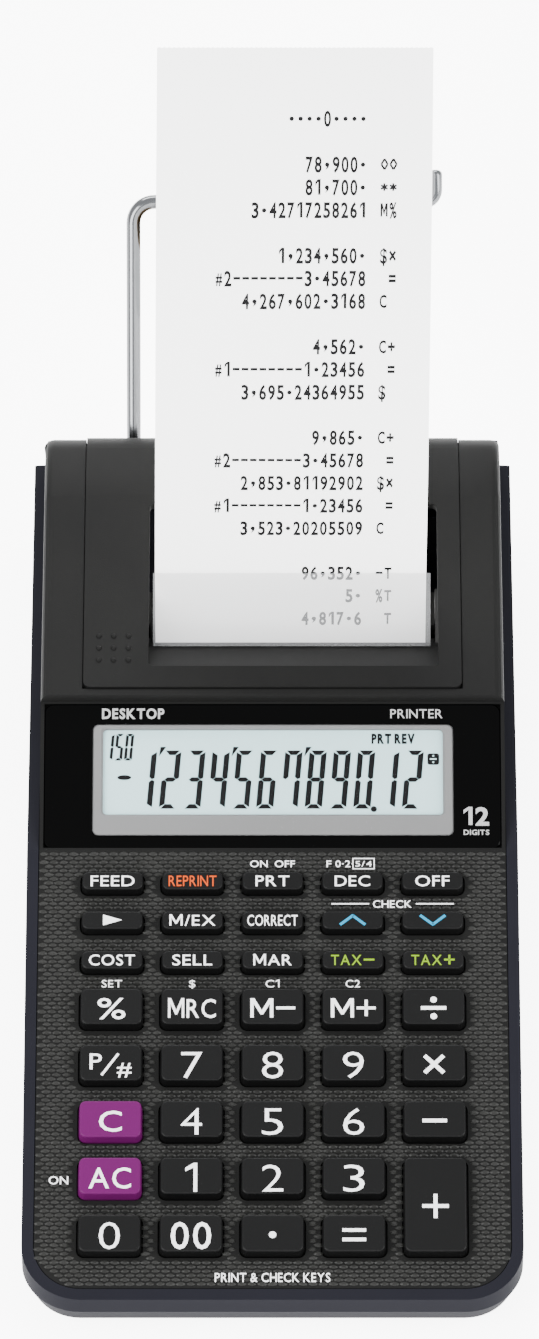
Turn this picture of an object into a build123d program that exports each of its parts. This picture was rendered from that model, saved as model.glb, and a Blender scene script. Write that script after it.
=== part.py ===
"""A 12-digit desk calculator with a built-in printer, its paper arm, roll and printed tape.

Frame: +X to the user's right, +Y away from the user, +Z up, millimetres.
Origin: the desk plane, under the middle of the casing's footprint.
"""

import os
from math import atan2, cos, degrees, hypot, radians, sin, tan

from build123d import *

os.makedirs("parts", exist_ok=True)

# driving sizes
body_width = 102.0
body_length = 209.0
foot_height = 1.5
floor_top = 3.5
widest_z = 8.5
rim_width = 2.4
rim_rear_z = 24.0
rim_level_z = 28.0
rim_drop = 3.5
shell = 2.2
seam = 0.15
front_corner = 12.0
rear_corner = 4.0
pan_inset = 5.0

front_y = -body_length / 2
rear_y = body_length / 2

# keyboard deck: a plane that rises to the rear
deck_slope = 9.0
deck_front_y = front_y + rim_width + seam
deck_front_z = 13.3
deck_length = 100.3
deck_rear_y = deck_front_y + deck_length * cos(radians(deck_slope))
deck_rear_z = deck_front_z + deck_length * sin(radians(deck_slope))

# display face: a steeper plane behind the deck
window_slope = 17.0
window_face_length = 32.9
window_rear_y = deck_rear_y + window_face_length * cos(radians(window_slope))
window_rear_z = deck_rear_z + window_face_length * sin(radians(window_slope))

# printer housing: a roof that rises a little and rolls down at the rear
roof_slope = 2.1
roof_front_z = 40.4
roof_length = 52.5
roof_radius = 45.0
roof_turn = 18.1
back_radius = 12.0
housing_bottom_z = 20.0
skirt_front_z = 9.2

# keys, on the deck plane: x across, s up the slope from the deck's front edge
key_pitch = 16.55
large_key = (13.0, 8.6)
small_key = (12.9, 4.5)
key_rise_large = 2.4
key_rise_small = 2.2
key_gap = 0.3
key_corner = 1.5
key_draft = 6.0
flange_margin = 0.9
flange_thickness = 0.85
large_rows = {"r4": 62.8, "r5": 49.9, "r6": 37.05, "r7": 24.2, "r8": 11.3}
small_rows = {"r1": 92.05, "r2": 82.85, "r3": 73.65}

# paper
paper_width = 57.0
paper_x = 3.8
paper_thickness = 0.15
tear_z = 46.0
platen_y, platen_z, platen_radius = 56.5, 27.0, 5.0
exit_slope = 72.7
inlet_y, inlet_z = 104.0, 28.3
strip_length = 116.0
strip_turn = 31.5

# paper arm: a bent wire on a cross pivot inside the rear wall
wire_radius = 1.5
arm_x_left, arm_x_right = -29.8, 34.9
arm_pivot_y, arm_pivot_z = 97.0, 19.0
arm_slope = 46.0
arm_foot_x = -18.6
arm_length = 65.8
arm_hook = 6.9
wire_bends = [4.5, 4.5, 2.6]
roll_radius = 22.0
core_radius = 6.2

# battery bay, open at the base
cell_radius, cell_length, cell_pitch = 7.1, 50.0, 15.2
cell_count = 4
bay_half_x = 27.0
bay_front_y, bay_rear_y = 32.3, 93.3
bay_wall = 1.5
bay_top = 18.3
door_half_x = 28.8
door_front_y, door_rear_y = 29.2, 97.5

screw_x, screw_y = 43.6, 90.0
screw_head_radius, screw_shank_radius, screw_drive = 2.1, 1.2, 2.6
head_bore_radius, shank_bore_radius, boss_radius = 2.35, 1.3, 2.4
foot_x, foot_y, foot_radius = 36.0, 90.0, 4.0

cover_half_x = 39.6
cover_front_y = 30.8
cover_proud = 0.4
cover_thickness = 1.6
cover_rear_z = 33.2
cover_gap = 0.2
cover_ledge = 1.2
opening_x, opening_half_x = 4.4, 30.4
opening_front_y, opening_rear_y = 36.2, 78.6


def deck_frame(height=0.0):
    """The deck plane, or one parallel to it; local x is across and local y runs up the slope."""
    base = Plane(
        origin=(0, deck_front_y, deck_front_z),
        x_dir=(1, 0, 0),
        z_dir=(0, -sin(radians(deck_slope)), cos(radians(deck_slope))),
    )
    return base.offset(height)


def window_frame(height=0.0):
    """The display face's plane, or one parallel to it; local y runs up the slope from the deck."""
    base = Plane(
        origin=(0, deck_rear_y, deck_rear_z),
        x_dir=(1, 0, 0),
        z_dir=(0, -sin(radians(window_slope)), cos(radians(window_slope))),
    )
    return base.offset(height)


def save(part, name):
    """Labels a finished part and writes its STEP file."""
    part.label = name
    export_step(part, f"parts/{name}.step")


def footprint(inset, height):
    """The casing's outline seen from above, drawn in by inset."""
    with BuildSketch(Plane.XY.offset(height)) as outline:
        Rectangle(body_width - 2 * inset, body_length - 2 * inset)
        fillet(outline.vertices().group_by(Axis.Y)[0], front_corner - inset)
        fillet(outline.vertices().group_by(Axis.Y)[-1], max(rear_corner - inset, 1.0))
    return outline.sketch


def side_profile(rise=0.0, front=None, bottom=None, inset=0.0):
    """The upper casing's side profile, its roof raised by rise and its outline drawn in by inset.

    It starts at the keyboard deck, or at front, and ends at the skirt's slanting lower edge, or
    level at bottom.
    """
    start_y = window_rear_y if front is None else front
    start_z = roof_front_z + rise + (start_y - window_rear_y) * tan(radians(roof_slope))
    run = roof_length - (start_y - window_rear_y)
    heading = (cos(radians(roof_slope)), sin(radians(roof_slope)))
    with BuildSketch(Plane.YZ) as face:
        with BuildLine():
            roof = Line(
                (start_y, start_z), (start_y + run * heading[0], start_z + run * heading[1])
            )
            shoulder = JernArc(roof @ 1, heading, roof_radius + rise, -roof_turn)
            back_turn = 90 + roof_slope - roof_turn
            back = JernArc(shoulder @ 1, shoulder % 1, back_radius + rise, -back_turn)
            wall_y = (back @ 1).X
            if front is not None:
                Polyline(back @ 1, (wall_y, 0), (start_y, 0), roof @ 0)
            elif bottom is not None:
                Polyline(
                    back @ 1,
                    (wall_y, bottom),
                    (deck_front_y, bottom),
                    (deck_front_y, deck_front_z),
                    (deck_rear_y, deck_rear_z),
                    (window_rear_y, window_rear_z),
                    roof @ 0,
                )
            else:
                rear_inner_y = wall_y - shell - 0.1
                Polyline(
                    back @ 1,
                    (wall_y, rim_height(wall_y) + seam),
                    (rear_inner_y, rim_height(rear_inner_y) + seam),
                    (rear_inner_y, housing_bottom_z),
                    (0.0, housing_bottom_z),
                    (deck_front_y + 12.0, skirt_front_z),
                    (deck_front_y, skirt_front_z),
                    (deck_front_y, deck_front_z),
                    (deck_rear_y, deck_rear_z),
                    (window_rear_y, window_rear_z),
                    roof @ 0,
                )
        make_face()
        if front is not None:
            with Locations((rear_y / 2, bottom + 50)):
                Rectangle(body_length * 2, 100, mode=Mode.INTERSECT)
        if inset:
            offset(amount=-inset, kind=Kind.INTERSECTION, mode=Mode.REPLACE)
    return face.sketch


def rim_height(y):
    """The height of the lower case's top edge near its rear."""
    return rim_level_z - max(0.0, y - (rear_y - rim_drop)) * (rim_level_z - rim_rear_z) / rim_drop


def rim_side_face(lift=0.0):
    """Everything below the lower case's top edge, seen from the side, raised by lift."""
    front_drop = (rim_width + seam + 1) * tan(radians(deck_slope))
    with BuildSketch(Plane.YZ) as face:
        with BuildLine():
            Polyline(
                (front_y - 1, 0),
                (front_y - 1, deck_front_z - front_drop + lift),
                (deck_rear_y, deck_rear_z + lift),
                (rear_y - rim_drop, rim_level_z + lift),
                (rear_y, rim_rear_z + lift),
                (rear_y + 1, rim_rear_z + lift),
                (rear_y + 1, 0),
                close=True,
            )
        make_face()
    return face.sketch


def upper_plan(inset=0.0):
    """The upper casing's outline seen from above, its front corners inside the rim."""
    half_x = body_width / 2 - rim_width - seam - inset
    near_y, far_y = deck_front_y + inset, rear_y - 0.72 - inset
    with BuildSketch(Plane.XY) as outline:
        with Locations((0, (near_y + far_y) / 2)):
            Rectangle(2 * half_x, far_y - near_y)
        front_radius = front_corner - rim_width - seam - inset
        fillet(outline.vertices().group_by(Axis.Y)[0], front_radius)
        fillet(outline.vertices().group_by(Axis.Y)[-1], max(2.6 - inset, 0.6))
    return outline.sketch


# the keys' list
columns = {"c1": -2, "c2": -1, "c3": 0, "c4": 1, "c5": 2}
key_names = {
    "r1": ("feed", "reprint", "print", "decimals", "off"),
    "r2": ("shift_right", "memory_exchange", "correct", "check_up", "check_down"),
    "r3": ("cost", "sell", "margin", "tax_minus", "tax_plus"),
    "r4": ("percent", "memory_recall", "memory_minus", "memory_plus", "divide"),
    "r5": ("non_add", "7", "8", "9", "multiply"),
    "r6": ("clear", "4", "5", "6", "subtract"),
    "r7": ("all_clear", "1", "2", "3", "add"),
    "r8": ("0", "00", "point", "equals"),
}
keys = {}
for row, names in key_names.items():
    small = row in small_rows
    slope_s = small_rows[row] if small else large_rows[row]
    width, depth = small_key if small else large_key
    for column, name in zip(columns.values(), names):
        middle_s, length_s = slope_s, depth
        if name == "add":
            middle_s = (large_rows["r7"] + large_rows["r8"]) / 2
            length_s = large_rows["r7"] - large_rows["r8"] + depth
        rise = key_rise_small if small else key_rise_large
        keys["key_" + name] = (column * key_pitch, middle_s, width, length_s, rise)

# lower case
with BuildPart() as lower_void:
    loft([f.face() for f in (footprint(pan_inset + 1.9, floor_top), footprint(rim_width, 9.0))])
    extrude(footprint(rim_width, 9.0), amount=40)

with BuildPart() as lower_case:
    loft(
        [
            footprint(pan_inset, foot_height).face(),
            footprint(1.8, 3.6).face(),
            footprint(0.0, widest_z).face(),
        ],
        ruled=True,
    )
    extrude(footprint(0.0, widest_z), amount=30)
    extrude(rim_side_face(), amount=body_width, both=True, mode=Mode.INTERSECT)
    add(lower_void.part, mode=Mode.SUBTRACT)
    # bay walls and roof
    with BuildSketch(Plane.XY.offset(foot_height)):
        with Locations((0, (bay_front_y - bay_wall + bay_rear_y + 3.1) / 2)):
            Rectangle(
                2 * (bay_half_x + bay_wall + 3.5), bay_rear_y + 3.1 - bay_front_y + bay_wall
            )
    extrude(amount=bay_top + 1.2 - foot_height)
    # screw posts, board rests and arm bracket
    for side in (-1, 1):
        for along, top in ((-screw_y, 8.0), (screw_y, 18.0)):
            with BuildSketch(Plane.XY.offset(floor_top - 0.5)):
                with Locations((side * screw_x, along)):
                    Circle(boss_radius)
            extrude(amount=top - floor_top + 0.5)
    board_under = 7.4
    for rest_x in (-36.0, 36.0):
        for rest_y in (-84.0, -20.0):
            rest_top = (
                deck_front_z
                + (rest_y - 2.0 - deck_front_y) * tan(radians(deck_slope))
                - board_under / cos(radians(deck_slope))
                - 0.1
            )
            with BuildSketch(Plane.XY.offset(floor_top - 0.5)):
                with Locations((rest_x, rest_y)):
                    Circle(2.0)
            extrude(amount=rest_top - floor_top + 0.5)
    with BuildSketch(Plane.XY.offset(floor_top - 0.5)):
        with Locations((-22.0, 98.0)):
            Rectangle(5.4, 5.6)
    extrude(amount=arm_pivot_z + 3.2 - floor_top + 0.5)
    with BuildSketch(Plane.YZ.offset(-30)):
        with Locations((arm_pivot_y, arm_pivot_z)):
            Circle(wire_radius + 0.06)
    extrude(amount=14, mode=Mode.SUBTRACT)
    # slot in the rear wall for the arm's leg
    with BuildSketch(Plane.XY.offset(13.5)):
        with Locations((arm_x_left, 101.2)):
            Rectangle(2 * wire_radius + 1.0, 13.6)
    extrude(amount=20, mode=Mode.SUBTRACT)
    # bay, door channel and its tongue grooves
    with BuildSketch(Plane.XY.offset(foot_height - 1)):
        with Locations((0, (bay_front_y + bay_rear_y) / 2)):
            Rectangle(2 * bay_half_x, bay_rear_y - bay_front_y)
    extrude(amount=bay_top - foot_height + 1, mode=Mode.SUBTRACT)
    channel_middle = (door_front_y - 0.2 + rear_y + 2) / 2
    channel_length = rear_y + 2 - door_front_y + 0.2
    with BuildSketch(Plane.XY.offset(0)):
        with Locations((0, channel_middle)):
            Rectangle(2 * (door_half_x + 0.25), channel_length)
    extrude(amount=3.0, mode=Mode.SUBTRACT)
    with BuildSketch(Plane.XY.offset(2.8)):
        with Locations((0, channel_middle)):
            Rectangle(2 * (door_half_x + 2.0), channel_length)
    extrude(amount=1.0, mode=Mode.SUBTRACT)
    # screw passages, countersunk from below
    for side in (-1, 1):
        for along in (-screw_y, screw_y):
            with BuildSketch(Plane.XY):
                with Locations((side * screw_x, along)):
                    Circle(head_bore_radius)
            extrude(amount=3.5, mode=Mode.SUBTRACT)
            with BuildSketch(Plane.XY):
                with Locations((side * screw_x, along)):
                    Circle(shank_bore_radius)
            extrude(amount=20, mode=Mode.SUBTRACT)
save(lower_case.part, "lower_case")

# upper case
half_upper = body_width / 2 - rim_width - seam
with BuildPart() as rim_ring:
    extrude(footprint(-1.0, 0), amount=40)
    extrude(footprint(rim_width + seam, 0), amount=40, mode=Mode.SUBTRACT)
    extrude(rim_side_face(seam), amount=body_width, both=True, mode=Mode.INTERSECT)

with BuildPart() as upper_void:
    extrude(side_profile(bottom=-10.0, inset=shell), amount=half_upper - shell, both=True)
    extrude(upper_plan(shell), amount=60, both=True, mode=Mode.INTERSECT)

with BuildPart() as cover_seat:
    seat_rise = cover_proud - cover_thickness - 0.1
    seat_front, seat_bottom = cover_front_y - cover_gap, cover_rear_z - cover_gap
    extrude(side_profile(2.0, seat_front, seat_bottom), amount=cover_half_x + cover_gap, both=True)
    extrude(
        side_profile(seat_rise, seat_front - 1, seat_bottom - 1),
        amount=cover_half_x + 5,
        both=True,
        mode=Mode.SUBTRACT,
    )
    extrude(
        side_profile(1.0, cover_front_y + cover_ledge, cover_rear_z + cover_ledge),
        amount=cover_half_x - cover_ledge,
        both=True,
    )

window_half_x, window_low, window_high = 47.6, 0.5, 32.4
window_thickness = 1.2
lcd_half_x, lcd_low, lcd_high = 37.4, 3.3, 27.4
with BuildPart() as upper_case:
    extrude(side_profile(), amount=half_upper, both=True)
    extrude(upper_plan(), amount=60, mode=Mode.INTERSECT)
    add(rim_ring.part, mode=Mode.SUBTRACT)
    add(upper_void.part, mode=Mode.SUBTRACT)
    add(cover_seat.part, mode=Mode.SUBTRACT)
    # screw bosses
    for side in (-1, 1):
        for along, low, high in ((-screw_y, 8.1, 13.6), (screw_y, 18.1, 40.5)):
            with BuildSketch(Plane.XY.offset(low)):
                with Locations((side * screw_x, along)):
                    Circle(boss_radius)
            extrude(amount=high - low)
            with BuildSketch(Plane.XY.offset(low)):
                with Locations((side * screw_x, along)):
                    Circle(1.25)
            extrude(amount=min(high - low - 1.2, 9.0), mode=Mode.SUBTRACT)
    # key openings
    with BuildSketch(deck_frame(1.0)):
        for x, s, width, length, rise in keys.values():
            with Locations((x, s)):
                RectangleRounded(width + 2 * key_gap, length + 2 * key_gap, key_corner + 0.2)
    extrude(amount=-(shell + 1.6), mode=Mode.SUBTRACT)
    # seat for the display window and the hole for the display behind it
    with BuildSketch(window_frame(1.0)):
        with Locations((0, (window_low + window_high) / 2)):
            Rectangle(2 * window_half_x + 0.1, window_high - window_low + 0.1)
    extrude(amount=-(window_thickness + 1.05), mode=Mode.SUBTRACT)
    with BuildSketch(window_frame(1.0)):
        with Locations((0, (lcd_low + lcd_high) / 2)):
            Rectangle(2 * lcd_half_x + 0.2, lcd_high - lcd_low + 0.2)
    extrude(amount=-4.0, mode=Mode.SUBTRACT)
    # rear wall: paper inlet and a slot for the arm's leg, both open below
    with BuildSketch(Plane.XY.offset(20)):
        with Locations((paper_x, rear_y)):
            Rectangle(paper_width + 3, 12)
    extrude(amount=11.5, mode=Mode.SUBTRACT)
    with BuildSketch(Plane.XY.offset(20)):
        with Locations((arm_x_left, rear_y)):
            Rectangle(2 * wire_radius + 1.0, 12)
    extrude(amount=12, mode=Mode.SUBTRACT)
save(upper_case.part, "upper_case")

# display
with BuildPart() as display_window:
    with BuildSketch(window_frame(0)) as window_face:
        with Locations((0, (window_low + window_high) / 2)):
            Rectangle(2 * window_half_x, window_high - window_low)
        fillet(window_face.vertices().group_by(Axis.Y)[-1], 2.3)
        fillet(window_face.vertices().group_by(Axis.Y)[0], 0.8)
    extrude(amount=-window_thickness)
save(display_window.part, "display_window")

with BuildPart() as lcd_panel:
    with BuildSketch(window_frame(-window_thickness - 0.05)):
        with Locations((0, (lcd_low + lcd_high) / 2)):
            RectangleRounded(2 * lcd_half_x, lcd_high - lcd_low, 1.2)
    extrude(amount=-2.4)
save(lcd_panel.part, "lcd_panel")

# printer cover and tear bar
shelf_rise = radians(36.0)
shelf_root = (44.57, 37.05)
shelf_front, shelf_lip = (34.6, 39.7), (36.3, 40.9)
shelf_thickness, shelf_depth = 1.4, 0.8
bar_thickness, bar_length, bar_bevel = 1.2, 15.35, 2.0
bar_left_x, bar_right_x = -25.1, 33.2


def along_bar(distance, height):
    """A point measured along the tear bar's slope and square to it, from its lower edge."""
    return (
        shelf_root[0] + distance * cos(shelf_rise) - height * sin(shelf_rise),
        shelf_root[1] + distance * sin(shelf_rise) + height * cos(shelf_rise),
    )


with BuildPart() as printer_cover:
    cover_face = side_profile(cover_proud, cover_front_y, cover_rear_z)
    extrude(cover_face, amount=cover_half_x, both=True)
    extrude(
        side_profile(cover_proud - cover_thickness, cover_front_y - 1, cover_rear_z - 1),
        amount=cover_half_x + 1,
        both=True,
        mode=Mode.SUBTRACT,
    )
    fillet(printer_cover.edges().filter_by(Axis.Z).group_by(Axis.Y)[0], 1.5)
    with BuildSketch(Plane.XY.offset(30)):
        with Locations((opening_x, (opening_front_y + opening_rear_y) / 2)):
            RectangleRounded(2 * opening_half_x, opening_rear_y - opening_front_y, 1.0)
    extrude(amount=30, mode=Mode.SUBTRACT)
    # sloping shelf that carries the tear bar
    with BuildSketch(Plane.YZ.offset(opening_x - opening_half_x)):
        with BuildLine():
            Polyline(
                shelf_front,
                shelf_lip,
                shelf_root,
                along_bar(shelf_depth, 0),
                along_bar(shelf_depth, -bar_thickness),
                (shelf_root[0], shelf_root[1] - shelf_thickness),
                close=True,
            )
        make_face()
    extrude(amount=2 * opening_half_x)
    with BuildSketch(Plane.XY.offset(30)):
        with Locations((arm_x_left, 104.6)):
            Rectangle(3.6, 4.0)
    extrude(amount=9, mode=Mode.SUBTRACT)
save(printer_cover.part, "printer_cover")

with BuildPart() as tear_bar:
    with BuildSketch(Plane.YZ.offset(bar_left_x)):
        with BuildLine():
            Polyline(
                along_bar(0, 0),
                along_bar(bar_length - bar_bevel, 0),
                along_bar(bar_length, bar_thickness),
                along_bar(0, bar_thickness),
                close=True,
            )
        make_face()
    extrude(amount=bar_right_x - bar_left_x)
save(tear_bar.part, "tear_bar")

# paper arm
arm_heading = (cos(radians(arm_slope)), sin(radians(arm_slope)))
bar_y = arm_pivot_y + arm_length * arm_heading[0]
bar_z = arm_pivot_z + arm_length * arm_heading[1]
arm_plane = Plane(
    origin=(0, arm_pivot_y, arm_pivot_z),
    x_dir=(1, 0, 0),
    z_dir=(0, -arm_heading[1], arm_heading[0]),
)
with BuildPart() as paper_arm:
    with BuildLine(arm_plane) as wire:
        FilletPolyline(
            (arm_foot_x, 0),
            (arm_x_left, 0),
            (arm_x_left, arm_length),
            (arm_x_right, arm_length),
            (arm_x_right, arm_length + arm_hook),
            radius=wire_bends,
        )
    with BuildSketch(Plane(origin=(arm_foot_x, arm_pivot_y, arm_pivot_z), z_dir=(-1, 0, 0))):
        Circle(wire_radius)
    sweep(path=wire.line)
save(paper_arm.part, "paper_arm")

# paper roll and printed tape
roll_y, roll_z = bar_y, bar_z - (core_radius - wire_radius - 0.1)
with BuildPart() as paper_roll:
    with BuildSketch(Plane.YZ.offset(paper_x - paper_width / 2)):
        with Locations((roll_y, roll_z)):
            Circle(roll_radius)
            Circle(core_radius, mode=Mode.SUBTRACT)
    extrude(amount=paper_width)
save(paper_roll.part, "paper_roll")

wrap_radius = platen_radius + 0.3 + paper_thickness / 2


def tangent_angle(from_point, centre, radius, side):
    """The heading, in degrees, of the line from a point to a circle that it just touches."""
    away_y, away_z = centre[0] - from_point[0], centre[1] - from_point[1]
    distance = hypot(away_y, away_z)
    swing = degrees(atan2(radius, (distance**2 - radius**2) ** 0.5))
    return degrees(atan2(away_z, away_y)) + side * swing, (distance**2 - radius**2) ** 0.5


def step_from(point, angle, distance):
    """The point that lies a distance away at an angle in the side view."""
    return (
        point[0] + distance * cos(radians(angle)),
        point[1] + distance * sin(radians(angle)),
    )


inlet = (inlet_y, inlet_z)
clear_radius = roll_radius + 0.4
up_angle, up_run = tangent_angle(inlet, (roll_y, roll_z), clear_radius, 1)
under_angle, under_run = tangent_angle(inlet, (platen_y, platen_z), wrap_radius, 1)
roll_point = step_from(inlet, up_angle, up_run)
under_point = step_from(inlet, under_angle, under_run)
wrap_turn = (under_angle - exit_slope) % 360
with BuildPart() as paper_tape:
    with BuildSketch(Plane.YZ.offset(paper_x - paper_width / 2)) as tape_edge:
        with BuildLine() as tape_line:
            FilletPolyline(roll_point, inlet, under_point, radius=8.0)
            heading = (cos(radians(under_angle)), sin(radians(under_angle)))
            wrap = JernArc(under_point, heading, wrap_radius, -wrap_turn)
            rise = tear_z - (wrap @ 1).Y
            exit_line = Line(
                wrap @ 1, (wrap @ 1) + Vector(rise / tan(radians(exit_slope)), rise)
            )
            strip_radius = strip_length / radians(strip_turn)
            JernArc(exit_line @ 1, exit_line % 1, strip_radius, -strip_turn)
        trace(tape_line.line, line_width=paper_thickness)
    extrude(amount=paper_width)
tape_length = sum(edge.length for edge in tape_line.line.edges())
print("paper tape length", round(tape_length, 1), "ratio of volume",
      round(paper_tape.part.volume / (tape_length * paper_thickness * paper_width), 4))
save(paper_tape.part, "paper_tape")

# printer mechanism
plate_thickness = 1.8
left_plate_x, right_plate_x = -30.0, 34.4
frame_floor, frame_top = bay_top + 1.2, 33.0
base_thickness = 1.3
shaft_play = 0.05
platen_shaft, wheel_shaft = 1.5, 1.2
gear_radius, gear_x = 7.0, -33.3
gear_teeth, tooth_depth, tooth_width, gear_slot = 24, 1.4, 0.9, 3.6
frame_base_x, frame_base_y, frame_base_width, frame_base_length = -4.4, 52.5, 82.0, 39.0
frame_plate_y, frame_plate_length = 48.2, 30.0
type_slots, type_slot_depth, type_slot_width = 12, 0.7, 0.5
type_y, type_z, type_radius = 46.6, 26.5, 4.0
ink_y, ink_z, ink_radius = 38.4, 30.2, 4.6
motor_y, motor_radius = 65.4, 6.2
motor_x, motor_length, motor_shaft_x, motor_shaft = -45.2, 10.6, -34.8, 4.4
platen_left_x, platen_length, gear_width = -25.8, 59.2, 2.8
shafts = (
    (platen_y, platen_z, platen_shaft),
    (type_y, type_z, wheel_shaft),
    (ink_y, ink_z, wheel_shaft),
)
with BuildPart() as printer_frame:
    with BuildSketch(Plane.XY.offset(frame_floor)):
        with Locations((frame_base_x, frame_base_y)):
            Rectangle(frame_base_width, frame_base_length)
    extrude(amount=base_thickness)
    with BuildSketch(Plane.XY.offset(frame_floor)):
        with Locations((gear_x + gear_width / 2, platen_y)):
            Rectangle(gear_slot, 2 * gear_radius + 2)
    extrude(amount=base_thickness, mode=Mode.SUBTRACT)
    for plate_x in (left_plate_x, right_plate_x):
        with BuildSketch(Plane.YZ.offset(plate_x)):
            with Locations((frame_plate_y, (frame_floor + frame_top) / 2)):
                Rectangle(frame_plate_length, frame_top - frame_floor)
            for shaft_y, shaft_z, shaft_radius in shafts:
                with Locations((shaft_y, shaft_z)):
                    Circle(shaft_radius + shaft_play, mode=Mode.SUBTRACT)
        extrude(amount=plate_thickness)
save(printer_frame.part, "printer_frame")

with BuildPart() as feed_roller:
    with BuildSketch(Plane.YZ.offset(platen_left_x)):
        with Locations((platen_y, platen_z)):
            Circle(platen_radius)
    extrude(amount=platen_length)
    with BuildSketch(Plane.YZ.offset(gear_x)):
        with Locations((platen_y, platen_z)):
            Circle(platen_shaft)
    extrude(amount=right_plate_x + plate_thickness + 0.6 - gear_x)
    with BuildSketch(Plane.YZ.offset(gear_x)):
        with Locations((platen_y, platen_z)):
            Circle(gear_radius)
            with PolarLocations(gear_radius, gear_teeth):
                Rectangle(tooth_depth, tooth_width, mode=Mode.SUBTRACT)
    extrude(amount=gear_width)
save(feed_roller.part, "feed_roller")

for name, middle_y, middle_z, radius, start_x, width in (
    ("type_wheel", type_y, type_z, type_radius, 1.0, 8.0),
    ("ink_roller", ink_y, ink_z, ink_radius, 0.5, 9.0),
):
    with BuildPart() as roller:
        with BuildSketch(Plane.YZ.offset(start_x)):
            with Locations((middle_y, middle_z)):
                Circle(radius)
                if name == "type_wheel":
                    with PolarLocations(radius, type_slots):
                        Rectangle(type_slot_depth, type_slot_width, mode=Mode.SUBTRACT)
        extrude(amount=width)
        with BuildSketch(Plane.YZ.offset(left_plate_x - 0.4)):
            with Locations((middle_y, middle_z)):
                Circle(wheel_shaft)
        extrude(amount=right_plate_x + plate_thickness + 0.8 - left_plate_x)
    save(roller.part, name)

with BuildPart() as print_motor:
    with BuildSketch(Plane.YZ.offset(motor_x)):
        with Locations((motor_y, frame_floor + base_thickness + motor_radius)):
            Circle(motor_radius)
    extrude(amount=motor_length)
    with BuildSketch(Plane.YZ.offset(motor_shaft_x)):
        with Locations((motor_y, frame_floor + base_thickness + motor_radius)):
            Circle(1.5)
    extrude(amount=motor_shaft)
save(print_motor.part, "print_motor")

# board and key mat
board_half_x, board_low, board_high = 40.5, 4.5, 95.0
board_thickness, mat_thickness, dome_height, dome_radius = 1.2, 0.8, 1.05, 1.9
chip_height = 1.4
# across, up the slope, width and length of each chip
chips = ((0, 58, 14, 14), (-20, 70, 8, 5), (18, 72, 5, 8), (22, 50, 6, 3))
with BuildPart() as circuit_board:
    with BuildSketch(deck_frame(-board_under)):
        with Locations((0, (board_low + board_high) / 2)):
            Rectangle(2 * board_half_x, board_high - board_low)
    extrude(amount=board_thickness)
    with BuildSketch(deck_frame(-board_under)):
        for chip_x, chip_s, chip_width, chip_length in chips:
            with Locations((chip_x, chip_s)):
                Rectangle(chip_width, chip_length)
    extrude(amount=-chip_height)
save(circuit_board.part, "circuit_board")

with BuildPart() as key_mat:
    with BuildSketch(deck_frame(board_thickness - board_under)):
        with Locations((0, (board_low + board_high) / 2)):
            Rectangle(2 * board_half_x, board_high - board_low)
    extrude(amount=mat_thickness)
    with BuildSketch(deck_frame(board_thickness + mat_thickness - board_under)):
        for x, s, width, length, rise in keys.values():
            with Locations((x, s)):
                Circle(dome_radius)
    extrude(amount=dome_height)
save(key_mat.part, "key_mat")

# keys
flange_gap, key_collar, key_edge = 0.05, 0.2, 0.45
deck_normal = Axis((0, 0, 0), (0, -sin(radians(deck_slope)), cos(radians(deck_slope))))
for name, (x, s, width, length, rise) in keys.items():
    with BuildPart() as key:
        with BuildSketch(deck_frame(-shell - flange_gap)):
            with Locations((x, s)):
                RectangleRounded(
                    width + 2 * flange_margin, length + 2 * flange_margin, key_corner
                )
        extrude(amount=-flange_thickness)
        with BuildSketch(deck_frame(-shell - flange_gap)):
            with Locations((x, s)):
                RectangleRounded(width, length, key_corner)
        extrude(amount=shell + flange_gap + key_collar)
        with BuildSketch(deck_frame(key_collar)):
            with Locations((x, s)):
                RectangleRounded(width, length, key_corner)
        extrude(amount=rise - key_collar, taper=key_draft)
        top_face = key.faces().sort_by(deck_normal)[-1]
        fillet(top_face.edges(), key_edge)
    save(key.part, name)

# battery bay
cell_play = 0.1
cell_y = [bay_front_y + cell_play + cell_pitch * (i + 0.5) for i in range(cell_count)]
cell_z, button_radius, button_height = 11.1, 2.7, 1.0
plate_size, plate_thick, spring_radius, spring_height = 11.0, 0.5, 2.6, 1.4
with BuildPart() as batteries:
    for y, end in zip(cell_y, (1, -1, 1, -1)):
        with BuildSketch(Plane.YZ.offset(-cell_length / 2 + (0 if end > 0 else button_height))):
            with Locations((y, cell_z)):
                Circle(cell_radius)
        extrude(amount=cell_length - button_height)
        with BuildSketch(Plane.YZ.offset(end * (cell_length / 2 - button_height))):
            with Locations((y, cell_z)):
                Circle(button_radius)
        extrude(amount=end * button_height)
save(batteries.part, "batteries")

with BuildPart() as battery_contacts:
    for side in (-1, 1):
        for y in cell_y:
            with BuildSketch(Plane.YZ.offset(side * bay_half_x)):
                with Locations((y, cell_z)):
                    Rectangle(plate_size, plate_size)
            extrude(amount=-side * plate_thick)
            with BuildSketch(Plane.YZ.offset(side * (bay_half_x - plate_thick))):
                with Locations((y, cell_z)):
                    Circle(spring_radius)
            extrude(amount=-side * spring_height)
save(battery_contacts.part, "battery_contacts")

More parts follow.
